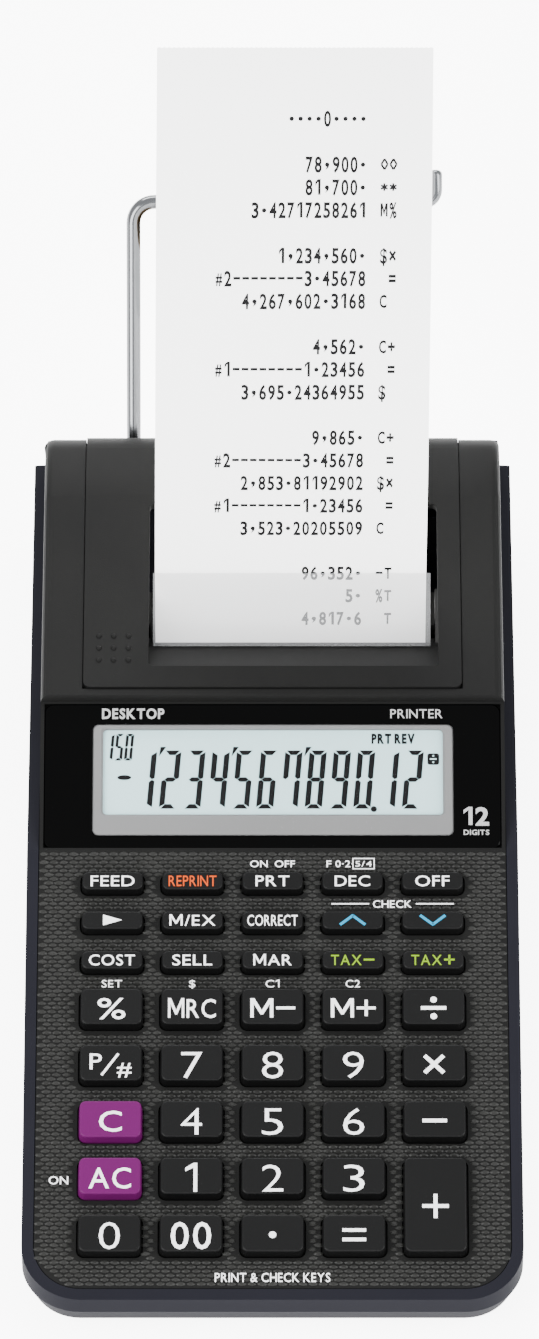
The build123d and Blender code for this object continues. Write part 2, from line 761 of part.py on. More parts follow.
door_plate_top, door_tongue_top, door_tongue = 2.85, 3.7, 1.6
door_play = 0.1
door_under = foot_height + door_play
grip_width, grip_groove, grip_pitch, grip_depth = 18.0, 0.8, 1.8, 0.5
grip_inset, grip_count = 8.0, 4
with BuildPart() as battery_door:
    with BuildSketch(Plane.XY.offset(door_under)):
        with Locations((0, (door_front_y + door_rear_y) / 2)):
            Rectangle(2 * door_half_x, door_rear_y - door_front_y)
    extrude(amount=door_plate_top - door_under)
    with BuildSketch(Plane.XY.offset(door_plate_top)):
        with Locations((0, (door_front_y + door_rear_y) / 2)):
            Rectangle(2 * (door_half_x + door_tongue), door_rear_y - door_front_y)
    extrude(amount=door_tongue_top - door_plate_top)
    with BuildSketch(Plane.XY.offset(door_under)):
        with Locations((0, door_rear_y - grip_inset)):
            with GridLocations(0, grip_pitch, 1, grip_count):
                Rectangle(grip_width, grip_groove)
    extrude(amount=grip_depth, mode=Mode.SUBTRACT)
save(battery_door.part, "battery_door")

# screws and feet
front_screw_top, rear_screw_top, screw_recess, head_overlap = 12.2, 26.0, 0.4, 0.1
drive_slot, drive_depth, foot_edge = 0.5, 0.8, 0.4
with BuildPart() as case_screws:
    for side in (-1, 1):
        for along, top in ((-screw_y, front_screw_top), (screw_y, rear_screw_top)):
            with BuildSketch(Plane.XY.offset(foot_height + screw_recess)):
                with Locations((side * screw_x, along)):
                    Circle(screw_head_radius)
            extrude(amount=floor_top - foot_height - screw_recess)
            with BuildSketch(Plane.XY.offset(floor_top - head_overlap)):
                with Locations((side * screw_x, along)):
                    Circle(screw_shank_radius)
            extrude(amount=top - floor_top)
            with BuildSketch(Plane.XY.offset(foot_height + screw_recess)):
                with Locations((side * screw_x, along)):
                    Rectangle(screw_drive, drive_slot)
                    Rectangle(drive_slot, screw_drive)
            extrude(amount=drive_depth, mode=Mode.SUBTRACT)
save(case_screws.part, "case_screws")

with BuildPart() as rubber_feet:
    with BuildSketch(Plane.XY):
        with GridLocations(2 * foot_x, 2 * foot_y, 2, 2):
            Circle(foot_radius)
    extrude(amount=foot_height)
    fillet(rubber_feet.edges().group_by(Axis.Z)[0], foot_edge)
save(rubber_feet.part, "rubber_feet")
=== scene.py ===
import math

import bmesh
import bpy
from mathutils import Matrix, Vector


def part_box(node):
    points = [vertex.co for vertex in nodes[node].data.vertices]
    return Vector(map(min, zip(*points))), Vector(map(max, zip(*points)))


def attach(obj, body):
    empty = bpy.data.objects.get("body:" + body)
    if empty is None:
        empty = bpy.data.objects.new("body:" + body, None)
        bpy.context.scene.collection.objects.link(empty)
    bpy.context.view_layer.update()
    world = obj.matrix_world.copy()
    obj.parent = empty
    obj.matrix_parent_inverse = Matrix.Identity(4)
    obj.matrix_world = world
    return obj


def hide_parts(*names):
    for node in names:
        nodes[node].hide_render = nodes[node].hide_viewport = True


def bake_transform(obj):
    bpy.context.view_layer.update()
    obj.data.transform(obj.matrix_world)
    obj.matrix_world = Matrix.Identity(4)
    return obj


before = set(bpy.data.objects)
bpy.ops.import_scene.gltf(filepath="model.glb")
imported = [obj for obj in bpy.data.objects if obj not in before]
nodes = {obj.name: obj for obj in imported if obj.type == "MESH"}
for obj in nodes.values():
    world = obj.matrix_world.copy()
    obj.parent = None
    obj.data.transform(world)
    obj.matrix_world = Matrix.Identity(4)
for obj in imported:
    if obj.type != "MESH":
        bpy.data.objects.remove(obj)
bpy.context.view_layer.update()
mm = 0.001
print("stage: frame loaded,", len(nodes), "nodes")

# camera, floor and light

cameraSet = dict(
    place=(-0.00062, -1.13166, 1.53462),  # metres
    tilt=38.0,  # degrees from straight down
    lens=243.5,  # long lens, almost no perspective
)
camera = bpy.data.objects.new("camera", bpy.data.cameras.new("camera"))
camera.data.lens = cameraSet["lens"]
camera.data.sensor_width = 36.0
camera.location = cameraSet["place"]
camera.rotation_euler = (math.radians(cameraSet["tilt"]), 0, 0)
bpy.context.collection.objects.link(camera)
bpy.context.scene.camera = camera


def hexColour(text):
    values = [int(text[i : i + 2], 16) / 255 for i in (1, 3, 5)]
    linear = [v / 12.92 if v <= 0.04045 else ((v + 0.055) / 1.055) ** 2.4 for v in values]
    return (*linear, 1.0)


def addNode(tree, kind, settings=None, links=None):
    node = tree.nodes.new(kind)
    for key, value in (settings or {}).items():
        if isinstance(key, str) and hasattr(node, key):
            setattr(node, key, value)
        else:
            node.inputs[key].default_value = value
    for key, source in (links or {}).items():
        tree.links.new(source, node.inputs[key])
    return node


def newMaterial(name):
    material = bpy.data.materials.new(name)
    material.use_nodes = True
    tree = material.node_tree
    return material, tree, tree.nodes["Principled BSDF"]


def addArea(name, place, aim, size, power):
    light = bpy.data.objects.new(name, bpy.data.lights.new(name, "AREA"))
    light.data.shape = "RECTANGLE"
    light.data.size, light.data.size_y = size
    light.data.energy = power
    light.location = place
    light.rotation_euler = (Vector(aim) - Vector(place)).to_track_quat("-Z", "Y").to_euler()
    bpy.context.collection.objects.link(light)


world = bpy.data.worlds.new("studio")
world.use_nodes = True
world.node_tree.nodes["Background"].inputs["Color"].default_value = hexColour("#f2f4f6")
world.node_tree.nodes["Background"].inputs["Strength"].default_value = 1.7
bpy.context.scene.world = world
addArea("softboxLeft", (-0.75, -0.55, 0.75), (0, 0, 0.02), (0.7, 0.9), 25.0)
addArea("softboxRight", (0.85, -0.25, 0.6), (0, 0.02, 0.02), (0.5, 0.9), 14.0)
addArea("softboxRear", (-0.15, 0.95, 0.75), (0, 0.05, 0.03), (0.9, 0.4), 16.0)
addArea("softboxFront", (0.1, -1.2, 0.55), (0, -0.05, 0.05), (0.9, 0.4), 8.0)


def paleFloor():
    material, tree, shader = newMaterial("paintedFloor")  # matt white paint, very even
    position = addNode(tree, "ShaderNodeTexCoord")
    noise = addNode(tree, "ShaderNodeTexNoise", {"Scale": 6.0}, {"Vector": position.outputs["Object"]})
    ramp = addNode(tree, "ShaderNodeValToRGB", links={"Fac": noise.outputs["Fac"]})
    ramp.color_ramp.elements[0].color = hexColour("#f1f1f1")
    ramp.color_ramp.elements[1].color = hexColour("#f6f6f6")
    tree.links.new(ramp.outputs["Color"], shader.inputs["Base Color"])
    shader.inputs["Roughness"].default_value = 0.9
    shader.inputs["Emission Color"].default_value = hexColour("#ffffff")
    ray = addNode(tree, "ShaderNodeLightPath")
    seen = {"To Min": 2.5, "To Max": 6.5}  # brighter to the camera than to the object
    glow = addNode(tree, "ShaderNodeMapRange", seen, {"Value": ray.outputs["Is Camera Ray"]})
    tree.links.new(glow.outputs["Result"], shader.inputs["Emission Strength"])
    mesh = bpy.data.meshes.new("floor")
    mesh.from_pydata([(-3, -3, 0), (3, -3, 0), (3, 3, 0), (-3, 3, 0)], [], [(0, 1, 2, 3)])
    mesh.materials.append(material)
    floor = bpy.data.objects.new("floor", mesh)
    bpy.context.collection.objects.link(floor)


paleFloor()
print("stage: camera, floor and light")

# materials


# moulded ABS: an even satin skin with the fine sparkle of a spark-eroded mould
def mouldedAbs(name, colour, shade, roughness, grainMm, grainHeight, gloss=0.15):
    material, tree, shader = newMaterial(name)
    position = addNode(tree, "ShaderNodeTexCoord")
    grain = addNode(
        tree,
        "ShaderNodeTexNoise",
        {"Scale": 1 / (grainMm * mm), "Detail": 3.0, "Roughness": 0.6},
        {"Vector": position.outputs["Object"]},
    )
    cloud = addNode(
        tree,
        "ShaderNodeTexNoise",
        {"Scale": 45.0, "Detail": 2.0},
        {"Vector": position.outputs["Object"]},
    )
    mix = addNode(
        tree,
        "ShaderNodeMix",
        {"data_type": "RGBA", 6: hexColour(colour), 7: hexColour(shade)},
        {0: cloud.outputs["Fac"]},
    )
    rough = addNode(
        tree,
        "ShaderNodeMapRange",
        {"To Min": roughness - 0.05, "To Max": roughness + 0.07},
        {"Value": grain.outputs["Fac"]},
    )
    bump = addNode(
        tree,
        "ShaderNodeBump",
        {"Strength": 0.5, "Distance": grainHeight * mm},
        {"Height": grain.outputs["Fac"]},
    )
    tree.links.new(mix.outputs[2], shader.inputs["Base Color"])
    tree.links.new(rough.outputs["Result"], shader.inputs["Roughness"])
    tree.links.new(bump.outputs["Normal"], shader.inputs["Normal"])
    shader.inputs["IOR"].default_value = 1.54
    shader.inputs["Specular IOR Level"].default_value = gloss
    return material


scaleAbs = mouldedAbs("scaleAbs", "#171716", "#1e1e1c", 0.42, 0.3, 0.04, 0.14)  # shinier tops
housingAbs = mouldedAbs("housingAbs", "#101010", "#141413", 0.5, 0.3, 0.05, 0.05)
lowerAbs = mouldedAbs("lowerAbs", "#15151a", "#1a1a1f", 0.5, 0.3, 0.04, 0.02)  # blue-grey
keyAbs = mouldedAbs("keyAbs", "#080808", "#0b0b0b", 0.42, 0.25, 0.03, 0.09)
purpleAbs = mouldedAbs("purpleAbs", "#480640", "#4e0946", 0.42, 0.25, 0.03, 0.09)
frameAbs = mouldedAbs("frameAbs", "#1c1c1b", "#242423", 0.5, 0.4, 0.05)
wheelAbs = mouldedAbs("wheelAbs", "#0c0c0c", "#121212", 0.45, 0.3, 0.04)
siliconeMat = mouldedAbs("siliconeRubber", "#74746f", "#83837d", 0.6, 0.5, 0.04)
blackRubber = mouldedAbs("blackRubber", "#0a0a0a", "#0f0f0f", 0.8, 0.35, 0.06)
inkFelt = mouldedAbs("inkFelt", "#0c0818", "#120e20", 0.95, 0.25, 0.2)


# polished acrylic, printed black behind: a deep mirror with faint wiping marks
def blackAcrylic():
    material, tree, shader = newMaterial("blackAcrylic")
    position = addNode(tree, "ShaderNodeTexCoord")
    wipe = addNode(
        tree,
        "ShaderNodeTexNoise",
        {"Scale": 90.0, "Detail": 4.0},
        {"Vector": position.outputs["Object"]},
    )
    rough = addNode(
        tree,
        "ShaderNodeMapRange",
        {"To Min": 0.05, "To Max": 0.11},
        {"Value": wipe.outputs["Fac"]},
    )
    tree.links.new(rough.outputs["Result"], shader.inputs["Roughness"])
    shader.inputs["Base Color"].default_value = hexColour("#020202")
    shader.inputs["IOR"].default_value = 1.49
    shader.inputs["Specular IOR Level"].default_value = 0.04
    return material


# clear or tinted plastic seen mostly through, with a weak gloss
def clearPlastic(name, colour, cover, roughness):
    material, tree, shader = newMaterial(name)
    position = addNode(tree, "ShaderNodeTexCoord")
    haze = addNode(
        tree,
        "ShaderNodeTexNoise",
        {"Scale": 160.0, "Detail": 3.0},
        {"Vector": position.outputs["Object"]},
    )
    rough = addNode(
        tree,
        "ShaderNodeMapRange",
        {"To Min": roughness, "To Max": roughness + 0.06},
        {"Value": haze.outputs["Fac"]},
    )
    tree.links.new(rough.outputs["Result"], shader.inputs["Roughness"])
    shader.inputs["Base Color"].default_value = hexColour(colour)
    shader.inputs["Alpha"].default_value = cover
    shader.inputs["IOR"].default_value = 1.49
    shader.inputs["Specular IOR Level"].default_value = 0.06
    return material


# uncoated bond paper: matt, faintly mottled fibres; the last argument gives it a painted glow, light of its
# own that no lamp casts
def bondPaper(name, colour, shade, paintedGlow=0.0):
    material, tree, shader = newMaterial(name)
    position = addNode(tree, "ShaderNodeTexCoord")
    fibre = addNode(
        tree,
        "ShaderNodeTexNoise",
        {"Scale": 1400.0, "Detail": 5.0, "Roughness": 0.7},
        {"Vector": position.outputs["Object"]},
    )
    mix = addNode(
        tree,
        "ShaderNodeMix",
        {"data_type": "RGBA", 6: hexColour(colour), 7: hexColour(shade)},
        {0: fibre.outputs["Fac"]},
    )
    bump = addNode(
        tree,
        "ShaderNodeBump",
        {"Strength": 0.25, "Distance": 0.02 * mm},
        {"Height": fibre.outputs["Fac"]},
    )
    tree.links.new(mix.outputs[2], shader.inputs["Base Color"])
    tree.links.new(bump.outputs["Normal"], shader.inputs["Normal"])
    shader.inputs["Roughness"].default_value = 0.85
    shader.inputs["Emission Color"].default_value = hexColour("#ffffff")
    shader.inputs["Emission Strength"].default_value = paintedGlow  # painted glow: the sheet gives off light of its own, so it shows brighter than the lamps make it
    return material


# metals: drawn, plated or rolled, with fine streaks along one axis
def streakedMetal(name, colour, roughness, stretch):
    material, tree, shader = newMaterial(name)
    position = addNode(tree, "ShaderNodeTexCoord")
    mapping = addNode(
        tree, "ShaderNodeMapping", {"Scale": stretch}, {"Vector": position.outputs["Object"]}
    )
    streak = addNode(
        tree,
        "ShaderNodeTexNoise",
        {"Scale": 600.0, "Detail": 2.0},
        {"Vector": mapping.outputs["Vector"]},
    )
    rough = addNode(
        tree,
        "ShaderNodeMapRange",
        {"To Min": roughness, "To Max": roughness + 0.12},
        {"Value": streak.outputs["Fac"]},
    )
    tree.links.new(rough.outputs["Result"], shader.inputs["Roughness"])
    shader.inputs["Base Color"].default_value = hexColour(colour)
    shader.inputs["Metallic"].default_value = 1.0
    return material


# screen-printed ink: thin, even and a little matt, with slightly broken cover
def printedInk(name, colour, shade, roughness=0.5):
    material, tree, shader = newMaterial(name)
    position = addNode(tree, "ShaderNodeTexCoord")
    cover = addNode(
        tree,
        "ShaderNodeTexNoise",
        {"Scale": 2500.0, "Detail": 2.0},
        {"Vector": position.outputs["Object"]},
    )
    mix = addNode(
        tree,
        "ShaderNodeMix",
        {"data_type": "RGBA", 6: hexColour(colour), 7: hexColour(shade)},
        {0: cover.outputs["Fac"]},
    )
    tree.links.new(mix.outputs[2], shader.inputs["Base Color"])
    shader.inputs["Roughness"].default_value = roughness
    shader.inputs["Specular IOR Level"].default_value = 0.15
    return material


windowBlack = blackAcrylic()
lensClear = clearPlastic("clearLens", "#101112", 0.02, 0.03)
tearClear = clearPlastic("smokedAcrylic", "#a9aaab", 0.2, 0.12)
# the tape and roll paper carry a painted glow (emission 1.3) that lifts them above what the lamps alone light
tapePaper = bondPaper("bondPaper", "#f7f7f6", "#f2f2f1", 1.3)
corePaper = bondPaper("greyboard", "#a58c68", "#8f7654")
bezelGrey = mouldedAbs("bezelAbs", "#676767", "#6d6d6d", 0.45, 0.3, 0.02)
lcdPale = printedInk("lcdGlass", "#aecdd0", "#b4d3d6", 0.5)  # reflective polariser
lcdInk = printedInk("lcdSegment", "#020203", "#050506", 0.6)
whiteInk = printedInk("whiteInk", "#f4f4f4", "#ebebeb")
greyInk = printedInk("silverInk", "#a2a2a2", "#989898")
orangeInk = printedInk("orangeInk", "#b8460f", "#ac3f0b")
greenInk = printedInk("greenInk", "#70920f", "#67880a")
cyanInk = printedInk("cyanInk", "#1080a6", "#0c789c")
ribbonInk = printedInk("ribbonInk", "#060607", "#121213", 0.8)  # dot-matrix ink, a bit uneven
chromeWire = streakedMetal("chromePlate", "#6a6b6d", 0.1, (0.1, 1, 1))
springSteel = streakedMetal("nickelSteel", "#b9b7b2", 0.25, (1, 1, 0.1))
motorSteel = streakedMetal("drawnSteel", "#a9a9a6", 0.3, (0.1, 1, 1))
zincSteel = streakedMetal("zincSteel", "#8b8c90", 0.35, (1, 1, 1))
boardGreen = mouldedAbs("solderMask", "#0f5a33", "#13683b", 0.35, 0.6, 0.03)
cellSleeve = mouldedAbs("cellSleeve", "#1c1c22", "#26262c", 0.3, 1.2, 0.01)

nodeFinish = {
    lowerAbs: ["lower_case", "battery_door"],
    housingAbs: ["upper_case", "printer_cover"],
    tearClear: ["tear_bar"],
    boardGreen: ["circuit_board"],
    siliconeMat: ["key_mat"],
    cellSleeve: ["batteries"],
    springSteel: ["battery_contacts"],
    frameAbs: ["printer_frame"],
    blackRubber: ["feed_roller", "rubber_feet"],
    wheelAbs: ["type_wheel"],
    inkFelt: ["ink_roller"],
    motorSteel: ["print_motor"],
    zincSteel: ["case_screws"],
    chromeWire: ["paper_arm"],
    tapePaper: ["paper_roll", "paper_tape"],
    windowBlack: ["display_window"],
    bezelGrey: ["lcd_panel"],
}


def paintNode(name, material):
    nodes[name].data.materials.clear()
    nodes[name].data.materials.append(material)


for material, names in nodeFinish.items():
    for name in names:
        paintNode(name, material)
for name in nodes:
    if name.startswith("key_") and name != "key_mat":
        paintNode(name, purpleAbs if name in ("key_clear", "key_all_clear") else keyAbs)
print("stage: materials")

# the casing's planes, in millimetres as the casing was drawn

deck = dict(frontY=-101.95, frontZ=13.3, slope=9.0, length=100.3, halfX=48.45, cornerR=9.4)
window = dict(slope=17.0, halfX=47.6, low=0.5, high=32.4, thick=1.2)


def slopeMatrix(originY, originZ, slope, height=0.0):
    c, s = math.cos(math.radians(slope)), math.sin(math.radians(slope))
    turn = Matrix(((1, 0, 0, 0), (0, c, -s, 0), (0, s, c, 0), (0, 0, 0, 1)))
    place = Vector((0, originY - s * height, originZ + c * height))
    return Matrix.Translation(place) @ turn


def deckMatrix(height=0.0):
    return slopeMatrix(deck["frontY"], deck["frontZ"], deck["slope"], height)


def windowMatrix(height=0.0):
    c, s = math.cos(math.radians(deck["slope"])), math.sin(math.radians(deck["slope"]))
    rearY, rearZ = deck["frontY"] + deck["length"] * c, deck["frontZ"] + deck["length"] * s
    return slopeMatrix(rearY, rearZ, window["slope"], height)


def addPiece(name, mesh, material, body, smooth=None):
    if material is not None:
        mesh.materials.clear()
        mesh.materials.append(material)
    piece = bpy.data.objects.new(name, mesh)
    bpy.context.collection.objects.link(piece)
    if smooth is not None:
        mesh.polygons.foreach_set("use_smooth", [True] * len(mesh.polygons))
        mesh.set_sharp_from_angle(angle=math.radians(smooth))
    if body:
        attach(piece, body)
    return piece


def meshFrom(name, points, faces, matrix=None):
    mesh = bpy.data.meshes.new(name)
    scaled = [Vector(p) if matrix is None else matrix @ Vector(p) for p in points]
    mesh.from_pydata([p * mm for p in scaled], [], faces)
    shape = bmesh.new()
    shape.from_mesh(mesh)
    bmesh.ops.recalc_face_normals(shape, faces=shape.faces)
    shape.to_mesh(mesh)
    shape.free()
    return mesh


def roundedRect(centreX, centreY, width, height, radius, steps=6):
    points = []
    for corner, (sx, sy) in enumerate(((1, 1), (-1, 1), (-1, -1), (1, -1))):
        for i in range(steps + 1):
            a = math.radians(90 * corner + 90 * i / steps)
            points.append(
                (
                    centreX + sx * (width / 2 - radius) + radius * math.cos(a),
                    centreY + sy * (height / 2 - radius) + radius * math.sin(a),
                )
            )
    return points


# bridges a list of equal loops into a skin; a ring joins its last loop to its first
def loftLoops(loops, ring=False):
    count = len(loops[0])
    points = [p for loop in loops for p in loop]
    faces = []
    last = len(loops) if ring else len(loops) - 1
    for k in range(last):
        a, b = k * count, ((k + 1) % len(loops)) * count
        for i in range(count):
            j = (i + 1) % count
            faces.append((a + i, a + j, b + j, b + i))
    if not ring:
        faces.append(tuple(range(count - 1, -1, -1)))
        faces.append(tuple(range(len(points) - count, len(points))))
    return points, faces


# flat shapes a little thick, all in one mesh; each shape is a list of plane points
def flatShapes(shapes, thickness):
    points, faces = [], []
    for shape in shapes:
        base, count = len(points), len(shape)
        points += [(x, y, 0.0) for x, y in shape] + [(x, y, thickness) for x, y in shape]
        faces.append(tuple(range(base + count - 1, base - 1, -1)))
        faces.append(tuple(range(base + count, base + 2 * count)))
        for i in range(count):
            j = (i + 1) % count
            faces.append((base + i, base + j, base + count + j, base + count + i))
    return points, faces


# lettering

lettering = dict(
    capShare=0.729,  # capital height over type size
    thick=0.05,
    weight=0.004,  # em
    stem=0.13,  # of the capital height, in the drawn letters
    gap=0.15,
    space=0.34,
)


# outlines, in capital heights, of two letters that the plain font draws unlike these
def drawnLetter(letter, stem):
    if letter == "1":
        right, flag = 0.25 + stem, 0.83
        return [
            (right, 0),
            (right, 1),
            (right - stem, 1),
            (0, flag),
            (0, flag - 1.1 * stem),
            (right - stem, flag + 0.01),
            (right - stem, 0),
        ]
    wide, notch, shoulder = 0.96, 0.22 + 1.1 * stem, 0.88 - 1.1 * stem
    half = [(stem, 0), (stem, shoulder), (wide / 2 - 0.05, 0.16)]
    outer = [(wide / 2, notch), (stem + 0.03, 1), (0, 1), (0, 0)]
    mirror = [(wide - x, y) for x, y in half]
    return half + mirror[::-1] + [(wide - x, y) for x, y in outer[:0:-1]] + outer


def fontLetter(letter, capHeight, weight, thickness):
    font = bpy.data.curves.new("letters", "FONT")
    font.body = letter
    font.size = capHeight / lettering["capShare"]
    font.offset = weight * font.size
    font.extrude = thickness / 2
    font.resolution_u = 3
    holder = bpy.data.objects.new("letters", font)
    bpy.context.collection.objects.link(holder)
    graph = bpy.context.evaluated_depsgraph_get()
    mesh = bpy.data.meshes.new_from_object(holder.evaluated_get(graph))
    bpy.data.objects.remove(holder)
    points = [(v.co.x, v.co.y, v.co.z + font.extrude) for v in mesh.vertices]
    faces = [tuple(f.vertices) for f in mesh.polygons]
    bpy.data.meshes.remove(mesh)
    return points, faces


# a word's letters side by side, centred, and stretched to the width asked for
def letterShapes(text, capHeight, width=None, weight=None, thickness=None, stem=None):
    weight = lettering["weight"] if weight is None else weight
    thickness = lettering["thick"] if thickness is None else thickness
    stem = lettering["stem"] if stem is None else stem
    points, faces, pen = [], [], 0.0
    for letter in text:
        if letter == " ":
            pen += lettering["space"] * capHeight
            continue
        if letter in "1M":
            outline = drawnLetter(letter, stem + 2 * weight)
            shapes = [[(x * capHeight, y * capHeight) for x, y in outline]]
            own, ownFaces = flatShapes(shapes, thickness)
        else:
            own, ownFaces = fontLetter(letter, capHeight, weight, thickness)
        low = min(p[0] for p in own)
        base = len(points)
        points += [(p[0] - low + pen, p[1], p[2]) for p in own]
        faces += [tuple(base + i for i in face) for face in ownFaces]
        pen = max(p[0] for p in points) + lettering["gap"] * capHeight
    low, high = min(p[0] for p in points), max(p[0] for p in points)
    stretch = 1.0 if width is None else width / (high - low)
    middle = (low + high) / 2
    points = [((p[0] - middle) * stretch, p[1] - capHeight / 2, p[2]) for p in points]
    return points, faces


def joinShapes(parts):
    points, faces = [], []
    for partPoints, partFaces, shiftX, shiftY in parts:
        base = len(points)
        points += [(p[0] + shiftX, p[1] + shiftY, p[2]) for p in partPoints]
        faces += [tuple(base + i for i in face) for face in partFaces]
    return points, faces


def letterMesh(name, parts, matrix):
    points, faces = joinShapes(parts)
    mesh = bpy.data.meshes.new(name)
    mesh.from_pydata([(matrix @ Vector(p)) * mm for p in points], [], faces)
    return mesh


def bar(width, height, x=0.0, y=0.0, slant=0.0):
    w, h = width / 2, height / 2
    return [
        (x - w - slant * h, y - h),
        (x + w - slant * h, y - h),
        (x + w + slant * h, y + h),
        (x - w + slant * h, y + h),
    ]


def disc(radius, x=0.0, y=0.0, count=20):
    turns = [2 * math.pi * i / count for i in range(count)]
    return [(x + radius * math.cos(a), y + radius * math.sin(a)) for a in turns]


def stroke(x0, y0, x1, y1, width):
    dx, dy = x1 - x0, y1 - y0
    size = math.hypot(dx, dy)
    nx, ny = -dy / size * width / 2, dx / size * width / 2
    return [(x0 + nx, y0 + ny), (x0 - nx, y0 - ny), (x1 - nx, y1 - ny), (x1 + nx, y1 + ny)]


# keys: legends on the key tops

keySet = dict(
    pitch=16.55,
    largeRise=2.4,
    smallRise=2.2,
    rows=dict(r1=92.05, r2=82.85, r3=73.65, r4=62.8, r5=49.9, r6=37.05, r7=24.2, r8=11.3),
    largeSize=(13.0, 8.6),
    smallSize=(12.9, 4.5),
)
smallRows = ("r1", "r2", "r3")
keyRows = {
    "r1": ("feed", "reprint", "print", "decimals", "off"),
    "r2": ("shift_right", "memory_exchange", "correct", "check_up", "check_down"),
    "r3": ("cost", "sell", "margin", "tax_minus", "tax_plus"),
    "r4": ("percent", "memory_recall", "memory_minus", "memory_plus", "divide"),
    "r5": ("non_add", "7", "8", "9", "multiply"),
    "r6": ("clear", "4", "5", "6", "subtract"),
    "r7": ("all_clear", "1", "2", "3", "add"),
    "r8": ("0", "00", "point", "equals"),
}
# words on the keys: text, capital height and width in mm, ink
keyWords = {
    "feed": ("FEED", 2.6, 9.1, whiteInk),
    "reprint": ("REPRINT", 2.6, 9.9, orangeInk),
    "print": ("PRT", 2.6, 7.0, whiteInk),
    "decimals": ("DEC", 2.6, 7.3, whiteInk),
    "off": ("OFF", 2.6, 7.1, whiteInk),
    "memory_exchange": ("M/EX", 2.6, 9.5, whiteInk),
    "correct": ("CORRECT", 2.6, 10.4, whiteInk),
    "cost": ("COST", 2.6, 9.5, whiteInk),
    "sell": ("SELL", 2.6, 8.2, whiteInk),
    "margin": ("MAR", 2.6, 7.9, whiteInk),
    "percent": ("%", 5.0, 5.8, whiteInk),
    "memory_recall": ("MRC", 4.5, 9.8, whiteInk),
    "clear": ("C", 4.9, 4.7, whiteInk),
    "all_clear": ("AC", 4.9, 8.6, whiteInk),
    "00": ("00", 6.3, 8.2, whiteInk),
}
digitWidth = 4.3
tallDigit = 6.5
legendShift = dict(small=-0.1, large=-0.5)  # legends sit a little low on the tops


def keyPlace(row, column):
    return (column - 2) * keySet["pitch"], keySet["rows"][row]


def keyLegend(name):
    thick = lettering["thick"]
    if name in keyWords:
        text, cap, width, ink = keyWords[name]
        return [(*letterShapes(text, cap, width), 0, 0)], ink
    if name.isdigit():
        width = digitWidth * (0.56 if name == "1" else 1.0)
        return [(*letterShapes(name, tallDigit, width, -0.01), 0, 0)], whiteInk
    signs = {
        "point": [disc(0.75)],
        "equals": [bar(4.8, 0.75, 0, 1.05), bar(4.8, 0.75, 0, -1.05)],
        "subtract": [bar(5.0, 0.8)],
        "add": [bar(5.4, 0.8), bar(0.8, 2.3, 0, 1.55), bar(0.8, 2.3, 0, -1.55)],
        "divide": [bar(5.2, 0.8), disc(0.68, 0, 1.9), disc(0.68, 0, -1.9)],
        "multiply": [
            stroke(-1.95, -1.95, 1.95, 1.95, 0.85),
            stroke(-1.95, 1.95, -0.3, 0.3, 0.85),
            stroke(0.3, -0.3, 1.95, -1.95, 0.85),
        ],
        "shift_right": [[(-1.9, -1.25), (2.0, 0), (-1.9, 1.25)]],
        "check_up": [stroke(-2.6, -1.1, 0.17, 1.15, 0.6), stroke(0.0, 1.05, 2.6, -1.1, 0.6)],
        "check_down": [stroke(-2.6, 1.1, 0.17, -1.15, 0.6), stroke(0.0, -1.05, 2.6, 1.1, 0.6)],
    }
    if name in signs:
        ink = cyanInk if name.startswith("check") else whiteInk
        return [(*flatShapes(signs[name], thick), 0, 0)], ink
    if name.startswith("tax"):
        sign = [bar(2.2, 0.42)] + ([bar(0.42, 2.2)] if name == "tax_plus" else [])
        parts = [(*letterShapes("TAX", 2.5, 6.3), -1.35, 0), (*flatShapes(sign, thick), 3.35, 0)]
        return parts, greenInk
    if name.startswith("memory"):
        plus = name == "memory_plus"
        sign = [bar(3.9, 0.62)] + ([bar(0.62, 3.7)] if plus else [])
        parts = [(*letterShapes("M", 4.4, 4.7), -2.2, 0), (*flatShapes(sign, thick), 2.7, 0)]
        return parts, whiteInk
    slash = [stroke(-1.9, -2.5, 1.5, 2.4, 0.5)]
    return [
        (*letterShapes("P", 3.8, 2.5), -3.1, 0.75),
        (*flatShapes(slash, thick), 0, 0),
        (*letterShapes("#", 3.4, 3.0), 2.75, -0.95),
    ], whiteInk


for row, names in keyRows.items():
    kind = "small" if row in smallRows else "large"
    for column, name in enumerate(names):
        x, s = keyPlace(row, column)
        if name == "add":
            s = (keySet["rows"]["r7"] + keySet["rows"]["r8"]) / 2
        parts, ink = keyLegend(name)
        s += legendShift[kind]
        parts = [(points, faces, dx + x, dy + s) for points, faces, dx, dy in parts]
        mesh = letterMesh("legend_" + name, parts, deckMatrix(keySet[kind + "Rise"] + 0.005))
        addPiece("legend_" + name, mesh, ink, "key_" + name)
print("stage: key legends")

# deck: staggered raised scales, moulded into the surface around the keys

scales = dict(
    across=2.0,
    along=0.95,
    height=0.3,
    margin=0.45,
    keyGap=0.3,  # the opening round each key
    sides=8,
    seed=5,
)


